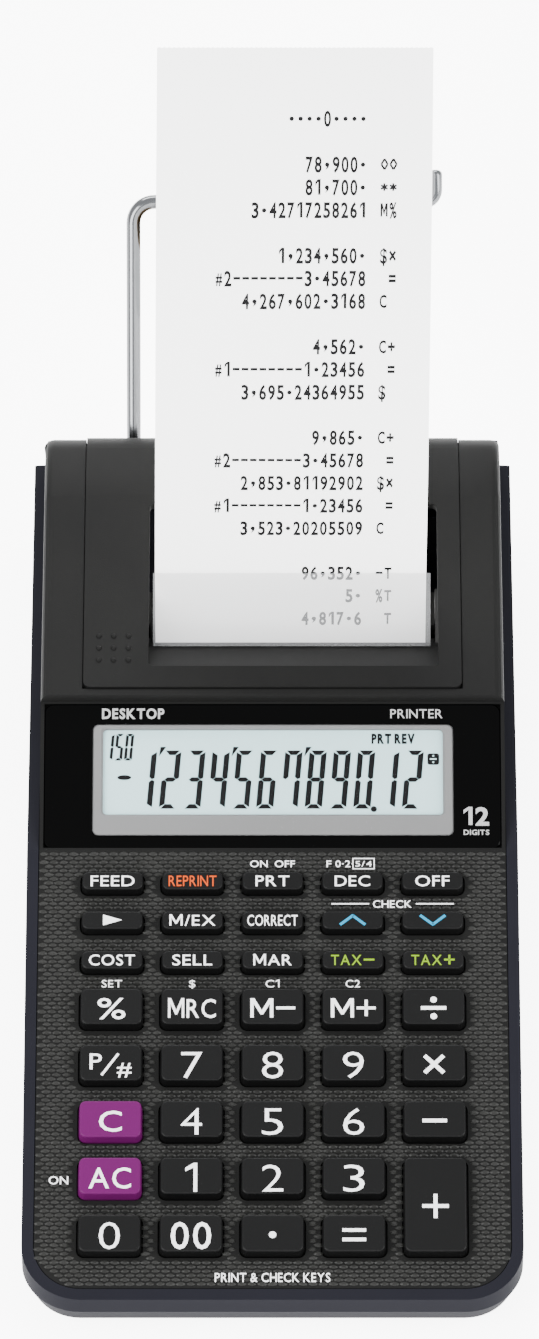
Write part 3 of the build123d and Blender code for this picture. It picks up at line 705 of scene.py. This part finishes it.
# the flat area that carries scales: the deck's outline less a margin round every key
def scaleField():
    curve = bpy.data.curves.new("scaleField", "CURVE")
    curve.dimensions, curve.fill_mode = "2D", "BOTH"
    margin, length = scales["margin"], deck["length"]
    loops = []
    halfX = deck["halfX"] - margin
    r = deck["cornerR"] - margin
    outline = [(halfX, length - margin), (-halfX, length - margin)]
    for side, start in ((-1, 180), (1, 270)):
        for i in range(9):
            a = math.radians(start + 90 * i / 8)
            outline.append(
                (side * (halfX - r) + r * math.cos(a), margin + r + r * math.sin(a))
            )
    loops.append(outline)
    for row, names in keyRows.items():
        width, height = keySet["smallSize" if row in smallRows else "largeSize"]
        for column, name in enumerate(names):
            x, s = keyPlace(row, column)
            tall = height
            if name == "add":
                s = (keySet["rows"]["r7"] + keySet["rows"]["r8"]) / 2
                tall += keySet["rows"]["r7"] - keySet["rows"]["r8"]
            grow = 2 * (scales["keyGap"] + margin)
            loops.append(roundedRect(x, s, width + grow, tall + grow, 1.6))
    for loop in loops:
        spline = curve.splines.new("POLY")
        spline.points.add(len(loop) - 1)
        for point, (x, y) in zip(spline.points, loop):
            point.co = (x, y, 0, 1)
        spline.use_cyclic_u = True
    holder = bpy.data.objects.new("scaleField", curve)
    bpy.context.collection.objects.link(holder)
    graph = bpy.context.evaluated_depsgraph_get()
    mesh = bpy.data.meshes.new_from_object(holder.evaluated_get(graph))
    bpy.data.objects.remove(holder)
    return mesh


def scaleTree():
    tree = bpy.data.node_groups.new("deckScales", "GeometryNodeTree")
    face = tree.interface
    face.new_socket("Field", in_out="INPUT", socket_type="NodeSocketGeometry")
    for name in ("Across", "Along", "Height", "Width", "Length"):
        face.new_socket(name, in_out="INPUT", socket_type="NodeSocketFloat")
    face.new_socket("Seed", in_out="INPUT", socket_type="NodeSocketInt")
    face.new_socket("Finish", in_out="INPUT", socket_type="NodeSocketMaterial")
    face.new_socket("Scales", in_out="OUTPUT", socket_type="NodeSocketGeometry")
    given = addNode(tree, "NodeGroupInput").outputs

    def maths(operation, a, b):
        node = addNode(tree, "ShaderNodeMath", {"operation": operation})
        for socket, value in zip(node.inputs, (a, b)):
            if isinstance(value, (int, float)):
                socket.default_value = value
            else:
                tree.links.new(value, socket)
        return node.outputs[0]

    columns = maths("FLOOR", maths("DIVIDE", given["Width"], given["Across"]), 0)
    rows = maths("FLOOR", maths("DIVIDE", given["Length"], given["Along"]), 0)
    grid = addNode(
        tree,
        "GeometryNodeMeshGrid",
        links={
            "Size X": given["Width"],
            "Size Y": given["Length"],
            "Vertices X": columns,
            "Vertices Y": rows,
        },
    )
    index = addNode(tree, "GeometryNodeInputIndex").outputs[0]
    odd = maths("MODULO", maths("MODULO", index, rows), 2)
    shift = maths("MULTIPLY", odd, maths("MULTIPLY", given["Across"], 0.5))
    half = maths("MULTIPLY", given["Length"], 0.5)
    offset = addNode(tree, "ShaderNodeCombineXYZ", links={"X": shift, "Y": half})
    moved = addNode(
        tree,
        "GeometryNodeSetPosition",
        links={"Geometry": grid.outputs["Mesh"], "Offset": offset.outputs[0]},
    )
    spot = addNode(tree, "GeometryNodeInputPosition")
    above = addNode(tree, "ShaderNodeVectorMath", {"operation": "ADD", 1: (0, 0, 1)}, {0: spot.outputs[0]})
    ray = addNode(
        tree,
        "GeometryNodeRaycast",
        {"Ray Direction": (0, 0, -1), "Ray Length": 5.0},
        {"Target Geometry": given["Field"], "Source Position": above.outputs[0]},
    )
    missed = addNode(
        tree, "FunctionNodeBooleanMath", {"operation": "NOT"}, {0: ray.outputs["Is Hit"]}
    )
    kept = addNode(
        tree,
        "GeometryNodeDeleteGeometry",
        {"domain": "POINT"},
        {"Geometry": moved.outputs[0], "Selection": missed.outputs[0]},
    )
    bumpShape = addNode(
        tree,
        "GeometryNodeMeshCone",
        {"Vertices": scales["sides"], "Radius Top": 0.5, "Radius Bottom": 1.0, "Depth": 1.0},
    )
    size = addNode(
        tree,
        "ShaderNodeCombineXYZ",
        links={
            "X": maths("MULTIPLY", given["Across"], 0.52),
            "Y": maths("MULTIPLY", given["Along"], 0.56),
            "Z": given["Height"],
        },
    )
    jitter = addNode(
        tree,
        "FunctionNodeRandomValue",
        {"data_type": "FLOAT", 2: 0.88, 3: 1.06},
        {"Seed": given["Seed"]},
    )
    grown = addNode(
        tree, "ShaderNodeVectorMath", {"operation": "SCALE"}, {0: size.outputs[0], "Scale": jitter.outputs[1]}
    )
    tilt = addNode(
        tree,
        "FunctionNodeRandomValue",
        {"data_type": "FLOAT_VECTOR", 0: (-0.12, -0.05, -0.06), 1: (0.02, 0.05, 0.06)},
        {"Seed": given["Seed"]},
    )
    placed = addNode(
        tree,
        "GeometryNodeInstanceOnPoints",
        links={
            "Points": kept.outputs[0],
            "Instance": bumpShape.outputs["Mesh"],
            "Scale": grown.outputs[0],
            "Rotation": tilt.outputs[0],
        },
    )
    real = addNode(tree, "GeometryNodeRealizeInstances", links={0: placed.outputs[0]})
    painted = addNode(
        tree,
        "GeometryNodeSetMaterial",
        links={"Geometry": real.outputs[0], "Material": given["Finish"]},
    )
    addNode(tree, "NodeGroupOutput", links={0: painted.outputs[0]})
    return tree


# runs a tree on a mesh and gives back the plain mesh that it makes
def runTree(tree, mesh, values):
    holder = bpy.data.objects.new("source", mesh)
    bpy.context.collection.objects.link(holder)
    modifier = holder.modifiers.new("nodes", "NODES")
    modifier.node_group = tree
    for item in tree.interface.items_tree:
        if item.in_out == "INPUT" and item.name in values:
            modifier[item.identifier] = values[item.name]
    graph = bpy.context.evaluated_depsgraph_get()
    result = bpy.data.meshes.new_from_object(holder.evaluated_get(graph))
    holder.modifiers.remove(modifier)
    bpy.data.objects.remove(holder)
    return result


fieldMesh = scaleField()
scaleMesh = runTree(
    scaleTree(),
    fieldMesh,
    {
        "Across": scales["across"],
        "Along": scales["along"],
        "Height": scales["height"],
        "Width": 2 * deck["halfX"],
        "Length": deck["length"],
        "Seed": scales["seed"],
        "Finish": scaleAbs,
    },
)
scaleMesh.transform(Matrix.Scale(mm, 4) @ deckMatrix(-0.02))
addPiece("deckScales", scaleMesh, scaleAbs, "casing")
print("stage: deck scales,", len(scaleMesh.polygons), "faces")

# labels printed on the deck, above the scales' tops

labelLift = 0.3
# text, x, distance up the deck, capital height and width
deckLabels = [
    ("ON  OFF", 0.0, 96.9, 1.65, 9.3),
    ("F", 11.7, 96.9, 1.65, 1.0),
    ("0·2·", 14.9, 96.9, 1.65, 3.7),
    ("5/4", 18.9, 96.9, 1.35, 3.4),
    ("CHECK", 24.8, 87.5, 1.8, 8.0),
    ("SET", -33.1, 69.0, 1.8, 4.2),
    ("$", -16.55, 69.0, 1.8, 1.3),
    ("C1", 0.0, 69.0, 1.8, 2.9),
    ("C2", 16.55, 69.0, 1.8, 3.0),
    ("ON", -43.6, 24.1, 1.9, 4.0),
    ("PRINT & CHECK KEYS", 0.0, 2.3, 2.1, 23.4),
]
parts = [(*letterShapes(text, cap, wide, 0.006), x, s) for text, x, s, cap, wide in deckLabels]
# rules beside CHECK, then the frame round 5/4
lines = [
    bar(7.8, 0.3, 16.1, 87.5),
    bar(7.8, 0.3, 33.6, 87.5),
    bar(4.6, 0.22, 18.9, 98.1),
    bar(4.6, 0.22, 18.9, 95.7),
    bar(0.22, 2.18, 16.7, 96.9),
    bar(0.22, 2.18, 21.1, 96.9),
]
parts.append((*flatShapes(lines, lettering["thick"]), 0, 0))
labelMesh = letterMesh("deckLabels", parts, deckMatrix(labelLift))
addPiece("deckLabels", labelMesh, whiteInk, "casing")
print("stage: deck labels")

# display: black sheet with a clear field, grey bezel, pale panel and segments

display = dict(
    bezel=(-37.55, 37.75, 3.2, 28.0),
    pale=(-35.3, 35.5, 8.1, 27.0),
    bezelTop=-0.2,
    paleDepth=-1.35,
    inkLift=0.06,
)


def rectOf(box, grow=0.0, radius=1.2):
    x0, x1, y0, y1 = box
    return roundedRect(
        (x0 + x1) / 2, (y0 + y1) / 2, x1 - x0 + 2 * grow, y1 - y0 + 2 * grow, radius
    )


def atHeight(loop, z):
    return [(x, y, z) for x, y in loop]


def windowSheet():
    box = (-window["halfX"], window["halfX"], window["low"], window["high"])
    outer, edge = rectOf(box, 0.0, 1.9), rectOf(box, -0.25, 1.7)
    hole = rectOf(display["bezel"], 0.0, 1.3)
    loops = [
        atHeight(outer, -window["thick"]),
        atHeight(outer, -0.22),
        atHeight(edge, 0.0),
        atHeight(hole, 0.0),
        atHeight(hole, -window["thick"]),
    ]
    points, faces = loftLoops(loops, ring=True)
    return meshFrom("windowSheet", points, faces, windowMatrix())


def bezelRing():
    outer, inner = display["bezel"], display["pale"]
    top = display["bezelTop"]
    loops = [
        atHeight(rectOf(outer, -0.03, 1.25), -3.2),
        atHeight(rectOf(outer, -0.03, 1.25), top - 0.25),
        atHeight(rectOf(outer, -0.3, 1.2), top),
        atHeight(rectOf(inner, 0.45, 1.0), top),
        atHeight(rectOf(inner, 0.05, 0.8), top - 0.45),
        atHeight(rectOf(inner, 0.0, 0.8), -3.2),
    ]
    points, faces = loftLoops(loops, ring=True)
    return meshFrom("lcdBezel", points, faces, windowMatrix())


def flatPlate(name, loop, low, high, matrix):
    points, faces = loftLoops([atHeight(loop, low), atHeight(loop, high)])
    return meshFrom(name, points, faces, matrix)


sheet = addPiece("windowSheet", windowSheet(), windowBlack, "casing", 30)
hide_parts("display_window")
lens = flatPlate("windowLens", rectOf(display["bezel"], -0.02, 1.28), -0.12, 0.0, windowMatrix())
addPiece("windowLens", lens, lensClear, "casing")
bezel = addPiece("lcdBezel", bezelRing(), bezelGrey, "casing", 30)
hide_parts("lcd_panel")
depth = display["paleDepth"]
pale = flatPlate("lcdGlass", rectOf(display["pale"], 0.04, 0.7), -3.0, depth, windowMatrix())
addPiece("lcdGlass", pale, lcdPale, "casing")

largeFigures = dict(
    left=-28.75,
    pitch=5.06,
    low=9.6,
    width=3.6,
    height=12.9,
    stroke=1.12,
    slant=0.085,
    gap=0.07,
)
smallFigures = dict(
    left=-35.1,
    pitch=2.04,
    low=20.3,
    width=1.65,
    height=5.9,
    stroke=0.58,
    slant=0.085,
    gap=0.04,
)
minusSign = dict(x=-30.9, y=16.5, width=2.9, height=1.05)
printerIcon = dict(x=33.55, y=20.6, width=2.4, height=2.5)
segmentsOf = {
    "0": "abcdef", "1": "bc", "2": "abged", "3": "abgcd", "4": "fgbc",
    "5": "afgcd", "6": "afgedc", "7": "fabc", "8": "abcdefg", "9": "abcfgd",
}


# one seven-segment figure; each segment is a bar with mitred ends
def figureShapes(figure, place, kind):
    w, h, stroke, gap, slant = (kind[k] for k in ("width", "height", "stroke", "gap", "slant"))
    x, y = kind["left"] + place * kind["pitch"], kind["low"]
    mid, cut = h / 2, 0.25 * stroke
    flat = stroke * 0.88  # the level bars are a little thinner
    upper = [
        (0, h - gap - cut),
        (stroke, h - flat - gap),
        (stroke, mid + flat / 2 + gap),
        (stroke / 2, mid + gap),
        (0, mid + gap + cut),
    ]
    top = [(gap + cut, h), (w - gap - cut, h), (w - stroke - gap, h - flat), (stroke + gap, h - flat)]
    middle = [
        (stroke / 2 + gap, mid),
        (stroke + gap, mid + flat / 2),
        (w - stroke - gap, mid + flat / 2),
        (w - stroke / 2 - gap, mid),
        (w - stroke - gap, mid - flat / 2),
        (stroke + gap, mid - flat / 2),
    ]
    bars = {
        "a": top,
        "g": middle,
        "d": [(px, h - py) for px, py in top],
        "f": upper,
        "e": [(px, h - py) for px, py in upper],
        "b": [(w - px, py) for px, py in upper],
        "c": [(w - px, h - py) for px, py in upper],
    }
    return [
        [(x + px + slant * py, y + py) for px, py in bars[letter]] for letter in segmentsOf[figure]
    ]


def displayShapes():
    shapes = []
    for kind, figures in ((largeFigures, "123456789012"), (smallFigures, "150")):
        for i, figure in enumerate(figures):
            shapes += figureShapes(figure, i, kind)
    left, pitch, low = (largeFigures[k] for k in ("left", "pitch", "low"))
    markTop = low + largeFigures["height"]
    for i in (1, 4, 7):  # thousands marks lean between the figures
        x = left + i * pitch + 0.35
        shapes.append([(x - 0.35, markTop - 1.3), (x, markTop + 0.8), (x + 1.15, markTop + 0.8)])
    shapes.append(disc(0.64, left + 10 * pitch - 0.75, low - 0.1, 16))
    sign = [(x * minusSign["width"], y * minusSign["height"]) for x, y in disc(0.5)]
    shapes.append([(minusSign["x"] + x, minusSign["y"] + y) for x, y in sign])
    box = (printerIcon["x"], printerIcon["y"], printerIcon["width"], printerIcon["height"])
    shapes.append(roundedRect(*box, 0.45, 4))
    return shapes


inkDepth = depth + display["inkLift"]
points, faces = flatShapes(displayShapes(), 0.04)
letters = (*letterShapes("PRT REV", 2.1, 9.0, 0.05, 0.04), 25.2, 25.2)
figures = letterMesh("lcdFigures", [(points, faces, 0, 0), letters], windowMatrix(inkDepth))
addPiece("lcdFigures", figures, lcdInk, "casing")
iconX, iconY = printerIcon["x"], printerIcon["y"]
icon = [bar(1.4, 0.3, iconX, iconY)]
icon += [disc(0.2, iconX, iconY + rise, 12) for rise in (0.7, -0.7)]
iconMesh = letterMesh("lcdIcon", [(*flatShapes(icon, 0.03), 0, 0)], windowMatrix(inkDepth + 0.045))
addPiece("lcdIcon", iconMesh, lcdPale, "casing")
windowWords = [
    (*letterShapes("DESKTOP", 2.3, 13.0, 0.03), -29.1, 30.3),
    (*letterShapes("PRINTER", 2.1, 10.9, 0.004), 30.05, 30.3),
    (*letterShapes("12", 4.0, 5.3, 0.03), 42.4, 7.5),
    (*letterShapes("DIGITS", 1.15, 5.3, 0.02), 42.4, 3.9),
]
wordMesh = letterMesh("windowWords", windowWords, windowMatrix(0.005))
addPiece("windowWords", wordMesh, greyInk, "casing")
print("stage: display")

# paper: one path from the roll, in at the rear, round the feed roller and up past the bar

tape = dict(
    width=57.0,
    centreX=3.8,
    inlet=(104.0, 28.3),
    inletR=8.0,
    rollGap=0.4,
    wrapGap=0.375,
    platenR=5.0,
    exitSlope=72.7,
    tearZ=46.0,
    stripLength=116.0,
    stripTurn=31.5,
    thick=0.12,
    lean=0.9,  # sideways drift of the strip's top
)


def boxCentre(node):
    low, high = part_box(node)
    return (low + high) / 2 / mm, (high - low) / mm


platen = boxCentre("feed_roller")[0]
roll, rollSize = boxCentre("paper_roll")
rollR = rollSize.y / 2


def tangentTo(start, centre, radius):
    awayY, awayZ = centre[0] - start[0], centre[1] - start[1]
    distance = math.hypot(awayY, awayZ)
    run = math.sqrt(distance**2 - radius**2)
    return math.degrees(math.atan2(awayZ, awayY) + math.atan2(radius, run)), run


upAngle, upRun = tangentTo(tape["inlet"], (roll.y, roll.z), rollR + tape["rollGap"])
wrapR = tape["platenR"] + tape["wrapGap"]
underAngle, underRun = tangentTo(tape["inlet"], (platen.y, platen.z), wrapR)
inletTurn = (underAngle - upAngle - 180 + 180) % 360 - 180
cut = tape["inletR"] * math.tan(math.radians(abs(inletTurn)) / 2)
wrapTurn = (underAngle - tape["exitSlope"]) % 360


# walks a route of straight and round stretches, each a length and a turn in degrees
def routePoint(start, angle, stretches, distance):
    y, z = start
    for length, turn in stretches:
        part = min(distance, length)
        bend = math.radians(turn) / length if length else 0
        a = math.radians(angle)
        if abs(bend) < 1e-9:
            y, z = y + part * math.cos(a), z + part * math.sin(a)
        else:
            b = a + bend * part
            y += (math.sin(b) - math.sin(a)) / bend
            z += (math.cos(a) - math.cos(b)) / bend
            angle += math.degrees(bend * part)
        distance -= part
        if distance <= 0:
            break
    return y, z, angle


rollPoint = (
    tape["inlet"][0] + upRun * math.cos(math.radians(upAngle)),
    tape["inlet"][1] + upRun * math.sin(math.radians(upAngle)),
)
bendLength = tape["inletR"] * math.radians(abs(inletTurn))
wrapLength = wrapR * math.radians(wrapTurn)
underTotal = [(upRun - cut, 0.0), (bendLength, inletTurn), (underRun - cut, 0.0)]
wrapEnd = routePoint(rollPoint, upAngle + 180, underTotal + [(wrapLength, -wrapTurn)], 1e6)
exitLength = (tape["tearZ"] - wrapEnd[1]) / math.sin(math.radians(tape["exitSlope"]))
stretches = underTotal + [
    (wrapLength, -wrapTurn),
    (exitLength, 0.0),
    (tape["stripLength"], -tape["stripTurn"]),
]
webLength = upRun - cut
tearAt = sum(length for length, turn in stretches[:5])
routeLength = sum(length for length, turn in stretches)


# a point of the paper: across it, along the route, and off its printed face
def tapePoint(x, distance, height=0.0):
    y, z, angle = routePoint(rollPoint, upAngle + 180, stretches, distance)
    a = math.radians(angle)
    share = max(0.0, (distance - tearAt) / tape["stripLength"])
    ripple = 0.18 * share * math.sin(x * 0.21 + distance * 0.05)
    shift = tape["centreX"] + tape["lean"] * share
    off = height + ripple
    return Vector((x + shift, y - off * math.sin(a), z + off * math.cos(a)))


def tapeSheet(name, start, end, steps, torn):
    across = 114
    points, faces = [], []
    for i in range(steps + 1):
        distance = start + (end - start) * i / steps
        for j in range(across + 1):
            x = tape["width"] * (j / across - 0.5)
            tooth = 0.22 * (1 if j % 2 else -1) if torn and i == steps else 0.0
            points.append(tapePoint(x, distance + tooth))
    for i in range(steps):
        for j in range(across):
            a = i * (across + 1) + j
            faces.append((a, a + 1, a + across + 2, a + across + 1))
    mesh = bpy.data.meshes.new(name)
    mesh.from_pydata([p * mm for p in points], [], faces)
    mesh.materials.append(tapePaper)
    sheetPiece = bpy.data.objects.new(name, mesh)
    bpy.context.collection.objects.link(sheetPiece)
    solid = sheetPiece.modifiers.new("thickness", "SOLIDIFY")
    solid.thickness, solid.offset = tape["thick"] * mm, 0.0
    graph = bpy.context.evaluated_depsgraph_get()
    finished = bpy.data.meshes.new_from_object(sheetPiece.evaluated_get(graph))
    bpy.data.objects.remove(sheetPiece)
    finished.polygons.foreach_set("use_smooth", [True] * len(finished.polygons))
    finished.set_sharp_from_angle(angle=math.radians(40))
    return finished


stripMesh = tapeSheet("tapeStrip", webLength, routeLength, 150, True)
strip = addPiece("tapeStrip", stripMesh, tapePaper, "casing")
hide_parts("paper_tape")
webMesh = tapeSheet("tapeWeb", 0.0, webLength, 24, False)
web = addPiece("tapeWeb", webMesh, tapePaper, None)
webStart, webEnd = tapePoint(0, webLength) * mm, tapePoint(0, 0) * mm
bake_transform(web)
print("stage: paper")

# figures printed on the paper

printing = dict(
    pitch=1.85,
    lineStep=5.11,
    firstLine=-11.1,
    cap=3.3,
    right=18.9,
    symbol=25.2,
    lines=22,
    spread=3.4,  # mm that the middle lines stand further up, where the strip bows forward
)
tapeLines = {  # line counted up from the bar: figures, then the sign column
    22: ("••••0••••", ""),
    20: ("78,900.", "◊◊"),
    19: ("81,700.", "**"),
    18: ("3.42717258261", "M%"),
    16: ("1,234,560.", "$×"),
    15: ("#2--------3.45678", " ="),
    14: ("4,267,602.3168", "C"),
    12: ("4,562.", "C÷"),
    11: ("#1--------1.23456", " ="),
    10: ("3,695.24364955", "$"),
    8: ("9,865.", "C÷"),
    7: ("#2--------3.45678", " ="),
    6: ("2,853.81192902", "$×"),
    5: ("#1--------1.23456", " ="),
    4: ("3,523.20205509", "C"),
    2: ("96,352.", "-T"),
    1: ("5.", "%T"),
    0: ("4,817.6", " T"),
}
glyphs = {}


def turned(length, degrees):
    a = math.radians(degrees)
    return length * math.cos(a), length * math.sin(a)


def glyph(letter):
    if letter not in glyphs:
        thick = 0.02
        comma = [(-0.42, -0.15), (0.42, -0.15), (0.32, -0.7), (-0.35, -1.25), (-0.1, -0.6)]
        drawn = {
            ".": [disc(0.48, 0, -0.1, 12)],
            ",": [disc(0.48, 0, -0.1, 12), comma],
            "-": [bar(1.45, 0.6)],
            "*": [stroke(*turned(-0.8, k), *turned(0.8, k), 0.42) for k in (30, 90, 150)],
        }
        drawn["•"] = drawn["."]
        if letter in drawn:
            glyphs[letter] = flatShapes(drawn[letter], thick)
        elif letter == "◊":
            diamond = [(-0.65, 0), (0, -1.1), (0.65, 0), (0, 1.1)]
            sides = [stroke(*diamond[i], *diamond[(i + 1) % 4], 0.44) for i in range(4)]
            glyphs[letter] = flatShapes(sides, thick)
        else:
            width = {"1": 1.1, "#": 1.4}.get(letter, 1.5)
            cap = printing["cap"] * {"#": 0.8, "M": 0.85, "C": 0.85, "T": 0.85}.get(letter, 1.0)
            glyphs[letter] = letterShapes(
                letter, cap, width, 0.02 if letter == "$" else 0.03, thick, 0.19
            )
    return glyphs[letter]


def printedFigures():
    points, faces = [], []
    for line, (figures, signs) in tapeLines.items():
        along = tearAt + printing["firstLine"] + line * printing["lineStep"]
        share = line / printing["lines"]
        along += printing["spread"] * 4 * share * (1 - share) * (1.22 - 0.62 * share)
        runs = [(figures, printing["right"] - tape["centreX"] - len(figures) * printing["pitch"])]
        runs.append((signs, printing["symbol"] - tape["centreX"] - 2 * printing["pitch"]))
        for text, left in runs:
            for i, letter in enumerate(text):
                if letter == " ":
                    continue
                letterPoints, letterFaces = glyph(letter)
                x = left + (i + 0.5) * printing["pitch"]
                base = len(points)
                for p in letterPoints:
                    height = tape["thick"] / 2 + 0.01 + p[2]
                    points.append(tapePoint(x + p[0], along + p[1], height) * mm)
                faces += [tuple(base + k for k in face) for face in letterFaces]
    mesh = bpy.data.meshes.new("tapeFigures")
    mesh.from_pydata(points, [], faces)
    return mesh


addPiece("tapeFigures", printedFigures(), ribbonInk, "casing")
print("stage: printed figures")

# roll: wound paper with fine ridges on its ends, on a greyboard core

rollSet = dict(coreInner=6.2, coreOuter=7.4, ridge=0.42, ridgeDepth=0.07, turns=112)


def latheX(profile, centreY, centreZ, turns):
    points, faces = [], []
    for i in range(turns):
        a = 2 * math.pi * i / turns
        for x, r in profile:
            points.append((x, centreY + r * math.cos(a), centreZ + r * math.sin(a)))
    count = len(profile)
    for i in range(turns):
        for j in range(count):
            a, b = i * count, ((i + 1) % turns) * count
            k = (j + 1) % count
            faces.append((a + j, b + j, b + k, a + k))
    return points, faces


def rollEnd(side):
    edge = roll.x + side * tape["width"] / 2
    ridges, r = [], rollSet["coreOuter"]
    while r < rollR - 0.5:
        ridges.append((edge, r))
        ridges.append((edge - side * rollSet["ridgeDepth"], r + rollSet["ridge"] * 0.7))
        r += rollSet["ridge"]
    ridges.append((edge, rollR - 0.12))
    ridges.append((edge - side * 0.12, rollR))
    return ridges


profile = rollEnd(-1) + rollEnd(1)[::-1]
points, faces = latheX(profile, roll.y, roll.z, rollSet["turns"])
woundMesh = meshFrom("woundPaper", points, faces)
wound = addPiece("woundPaper", woundMesh, tapePaper, "roll", 35)
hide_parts("paper_roll")
coreHalf = tape["width"] / 2 - 0.2
inner, outer = rollSet["coreInner"], rollSet["coreOuter"]
coreProfile = [
    (roll.x - coreHalf, inner + 0.15),
    (roll.x - coreHalf, outer),
    (roll.x + coreHalf, outer),
    (roll.x + coreHalf, inner + 0.15),
    (roll.x + coreHalf - 0.15, inner),
    (roll.x - coreHalf + 0.15, inner),
]
points, faces = latheX(coreProfile, roll.y, roll.z, 64)
addPiece("rollCore", meshFrom("rollCore", points, faces), corePaper, "roll", 35)
print("stage: roll")

# arm: bent wire with rounded ends

arm = dict(
    pivot=(97.0, 19.0),
    slope=46.0,
    length=65.8,
    hook=6.9,
    footX=-18.6,
    leftX=-29.8,
    rightX=34.9,
    wireR=1.5,
    bends=(4.5, 4.5, 2.6),
    rounded=1.05,
)


def armPoint(x, out):
    a = math.radians(arm["slope"])
    return Vector((x, arm["pivot"][0] + out * math.cos(a), arm["pivot"][1] + out * math.sin(a)))


def bentRoute(corners, radii, steps=10):
    route = [corners[0]]
    for before, corner, after, radius in zip(corners, corners[1:], corners[2:], radii):
        toBefore, toAfter = (before - corner).normalized(), (after - corner).normalized()
        centre = corner + (toBefore + toAfter) * radius  # square corners only
        for i in range(steps + 1):
            a = math.pi / 2 * i / steps
            route.append(centre - toAfter * radius * math.cos(a) - toBefore * radius * math.sin(a))
    route.append(corners[-1])
    return route


def wireMesh():
    reach = arm["length"]
    corners = [
        armPoint(arm["footX"], 0),
        armPoint(arm["leftX"], 0),
        armPoint(arm["leftX"], reach),
        armPoint(arm["rightX"], reach),
        armPoint(arm["rightX"], reach + arm["hook"]),
    ]
    route = bentRoute(corners, arm["bends"])
    a = math.radians(arm["slope"])
    square = Vector((0, -math.sin(a), math.cos(a)))  # square to the plane that the wire lies in
    radii = [arm["wireR"]] * len(route)
    for end in (0, -1):
        nextOne = route[1] if end == 0 else route[-2]
        back = (nextOne - route[end]).normalized()
        extra, small = [], []
        for turn in (0, 0.25, 0.5, 0.75, 1):
            a = turn * math.pi / 2
            extra.append(route[end] + back * arm["rounded"] * (1 - math.cos(a)))
            small.append(arm["wireR"] - arm["rounded"] * (1 - math.sin(a)))
        if end == 0:
            route, radii = extra + route[1:], small + radii[1:]
        else:
            route, radii = route[:-1] + extra[::-1], radii[:-1] + small[::-1]
    loops, sides = [], 28
    for k, point in enumerate(route):
        ahead = route[min(k + 1, len(route) - 1)] - route[max(k - 1, 0)]
        side = square.cross(ahead.normalized()).normalized()
        loop = []
        for i in range(sides):
            t = 2 * math.pi * i / sides
            loop.append(point + (side * math.cos(t) + square * math.sin(t)) * radii[k])
        loops.append(loop)
    points, faces = loftLoops(loops)
    return meshFrom("wireArm", points, faces)


wire = addPiece("wireArm", wireMesh(), chromeWire, "arm", 50)
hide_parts("paper_arm")
print("stage: wire arm")

# raised dots on the printer cover, a grip for the thumb

dots = dict(x=(-36.4, -33.3, -30.2), y=(37.7, 40.8, 43.9), radius=0.62, height=0.42)
roof = dict(frontY=28.58, frontZ=40.8, slope=2.1)


def coverDots():
    points, faces = [], []
    slope = math.tan(math.radians(roof["slope"]))
    for x in dots["x"]:
        for y in dots["y"]:
            z = roof["frontZ"] + (y - roof["frontY"]) * slope - 0.03
            loops = []
            for share in (0.0, 0.35, 0.65, 0.88):
                r = dots["radius"] * math.sqrt(1 - share**2)
                lift = dots["height"] * share
                loops.append([(px, py, z + lift) for px, py in disc(r, x, y, 16)])
            loopPoints, loopFaces = loftLoops(loops)
            base = len(points)
            points += loopPoints
            faces += [tuple(base + i for i in face) for face in loopFaces]
    return meshFrom("coverDots", points, faces)


addPiece("coverDots", coverDots(), housingAbs, "cover", 60)
print("stage: cover dots")

# softened edges along the housing's roof

roofEdge = dict(halfX=48.3, frontY=28.0, lowestZ=31.0, radius=1.8, segments=4)


def softenRoof():
    case = nodes["upper_case"]
    group = case.vertex_groups.new(name="roofEdge")
    top = []
    for vertex in case.data.vertices:
        x, y, z = vertex.co / mm
        slopeZ = roof["frontZ"] - 0.4 + (y - roof["frontY"]) * math.tan(math.radians(roof["slope"]))
        onRoof = y > roofEdge["frontY"] and z > roofEdge["lowestZ"]
        if abs(x) > roofEdge["halfX"] and onRoof and (z > slopeZ - 0.05 or y > 80.0):
            top.append(vertex.index)
    group.add(top, 1.0, "REPLACE")
    weld = case.modifiers.new("weld", "WELD")
    weld.merge_threshold = 0.01 * mm
    bevel = case.modifiers.new("roofEdge", "BEVEL")
    bevel.limit_method = "VGROUP"
    bevel.vertex_group = group.name
    bevel.width = roofEdge["radius"] * mm
    bevel.segments = roofEdge["segments"]
    bevel.use_clamp_overlap = False
    bevel.harden_normals = False
    print("stage: roof edge,", len(top), "vertices")


softenRoof()
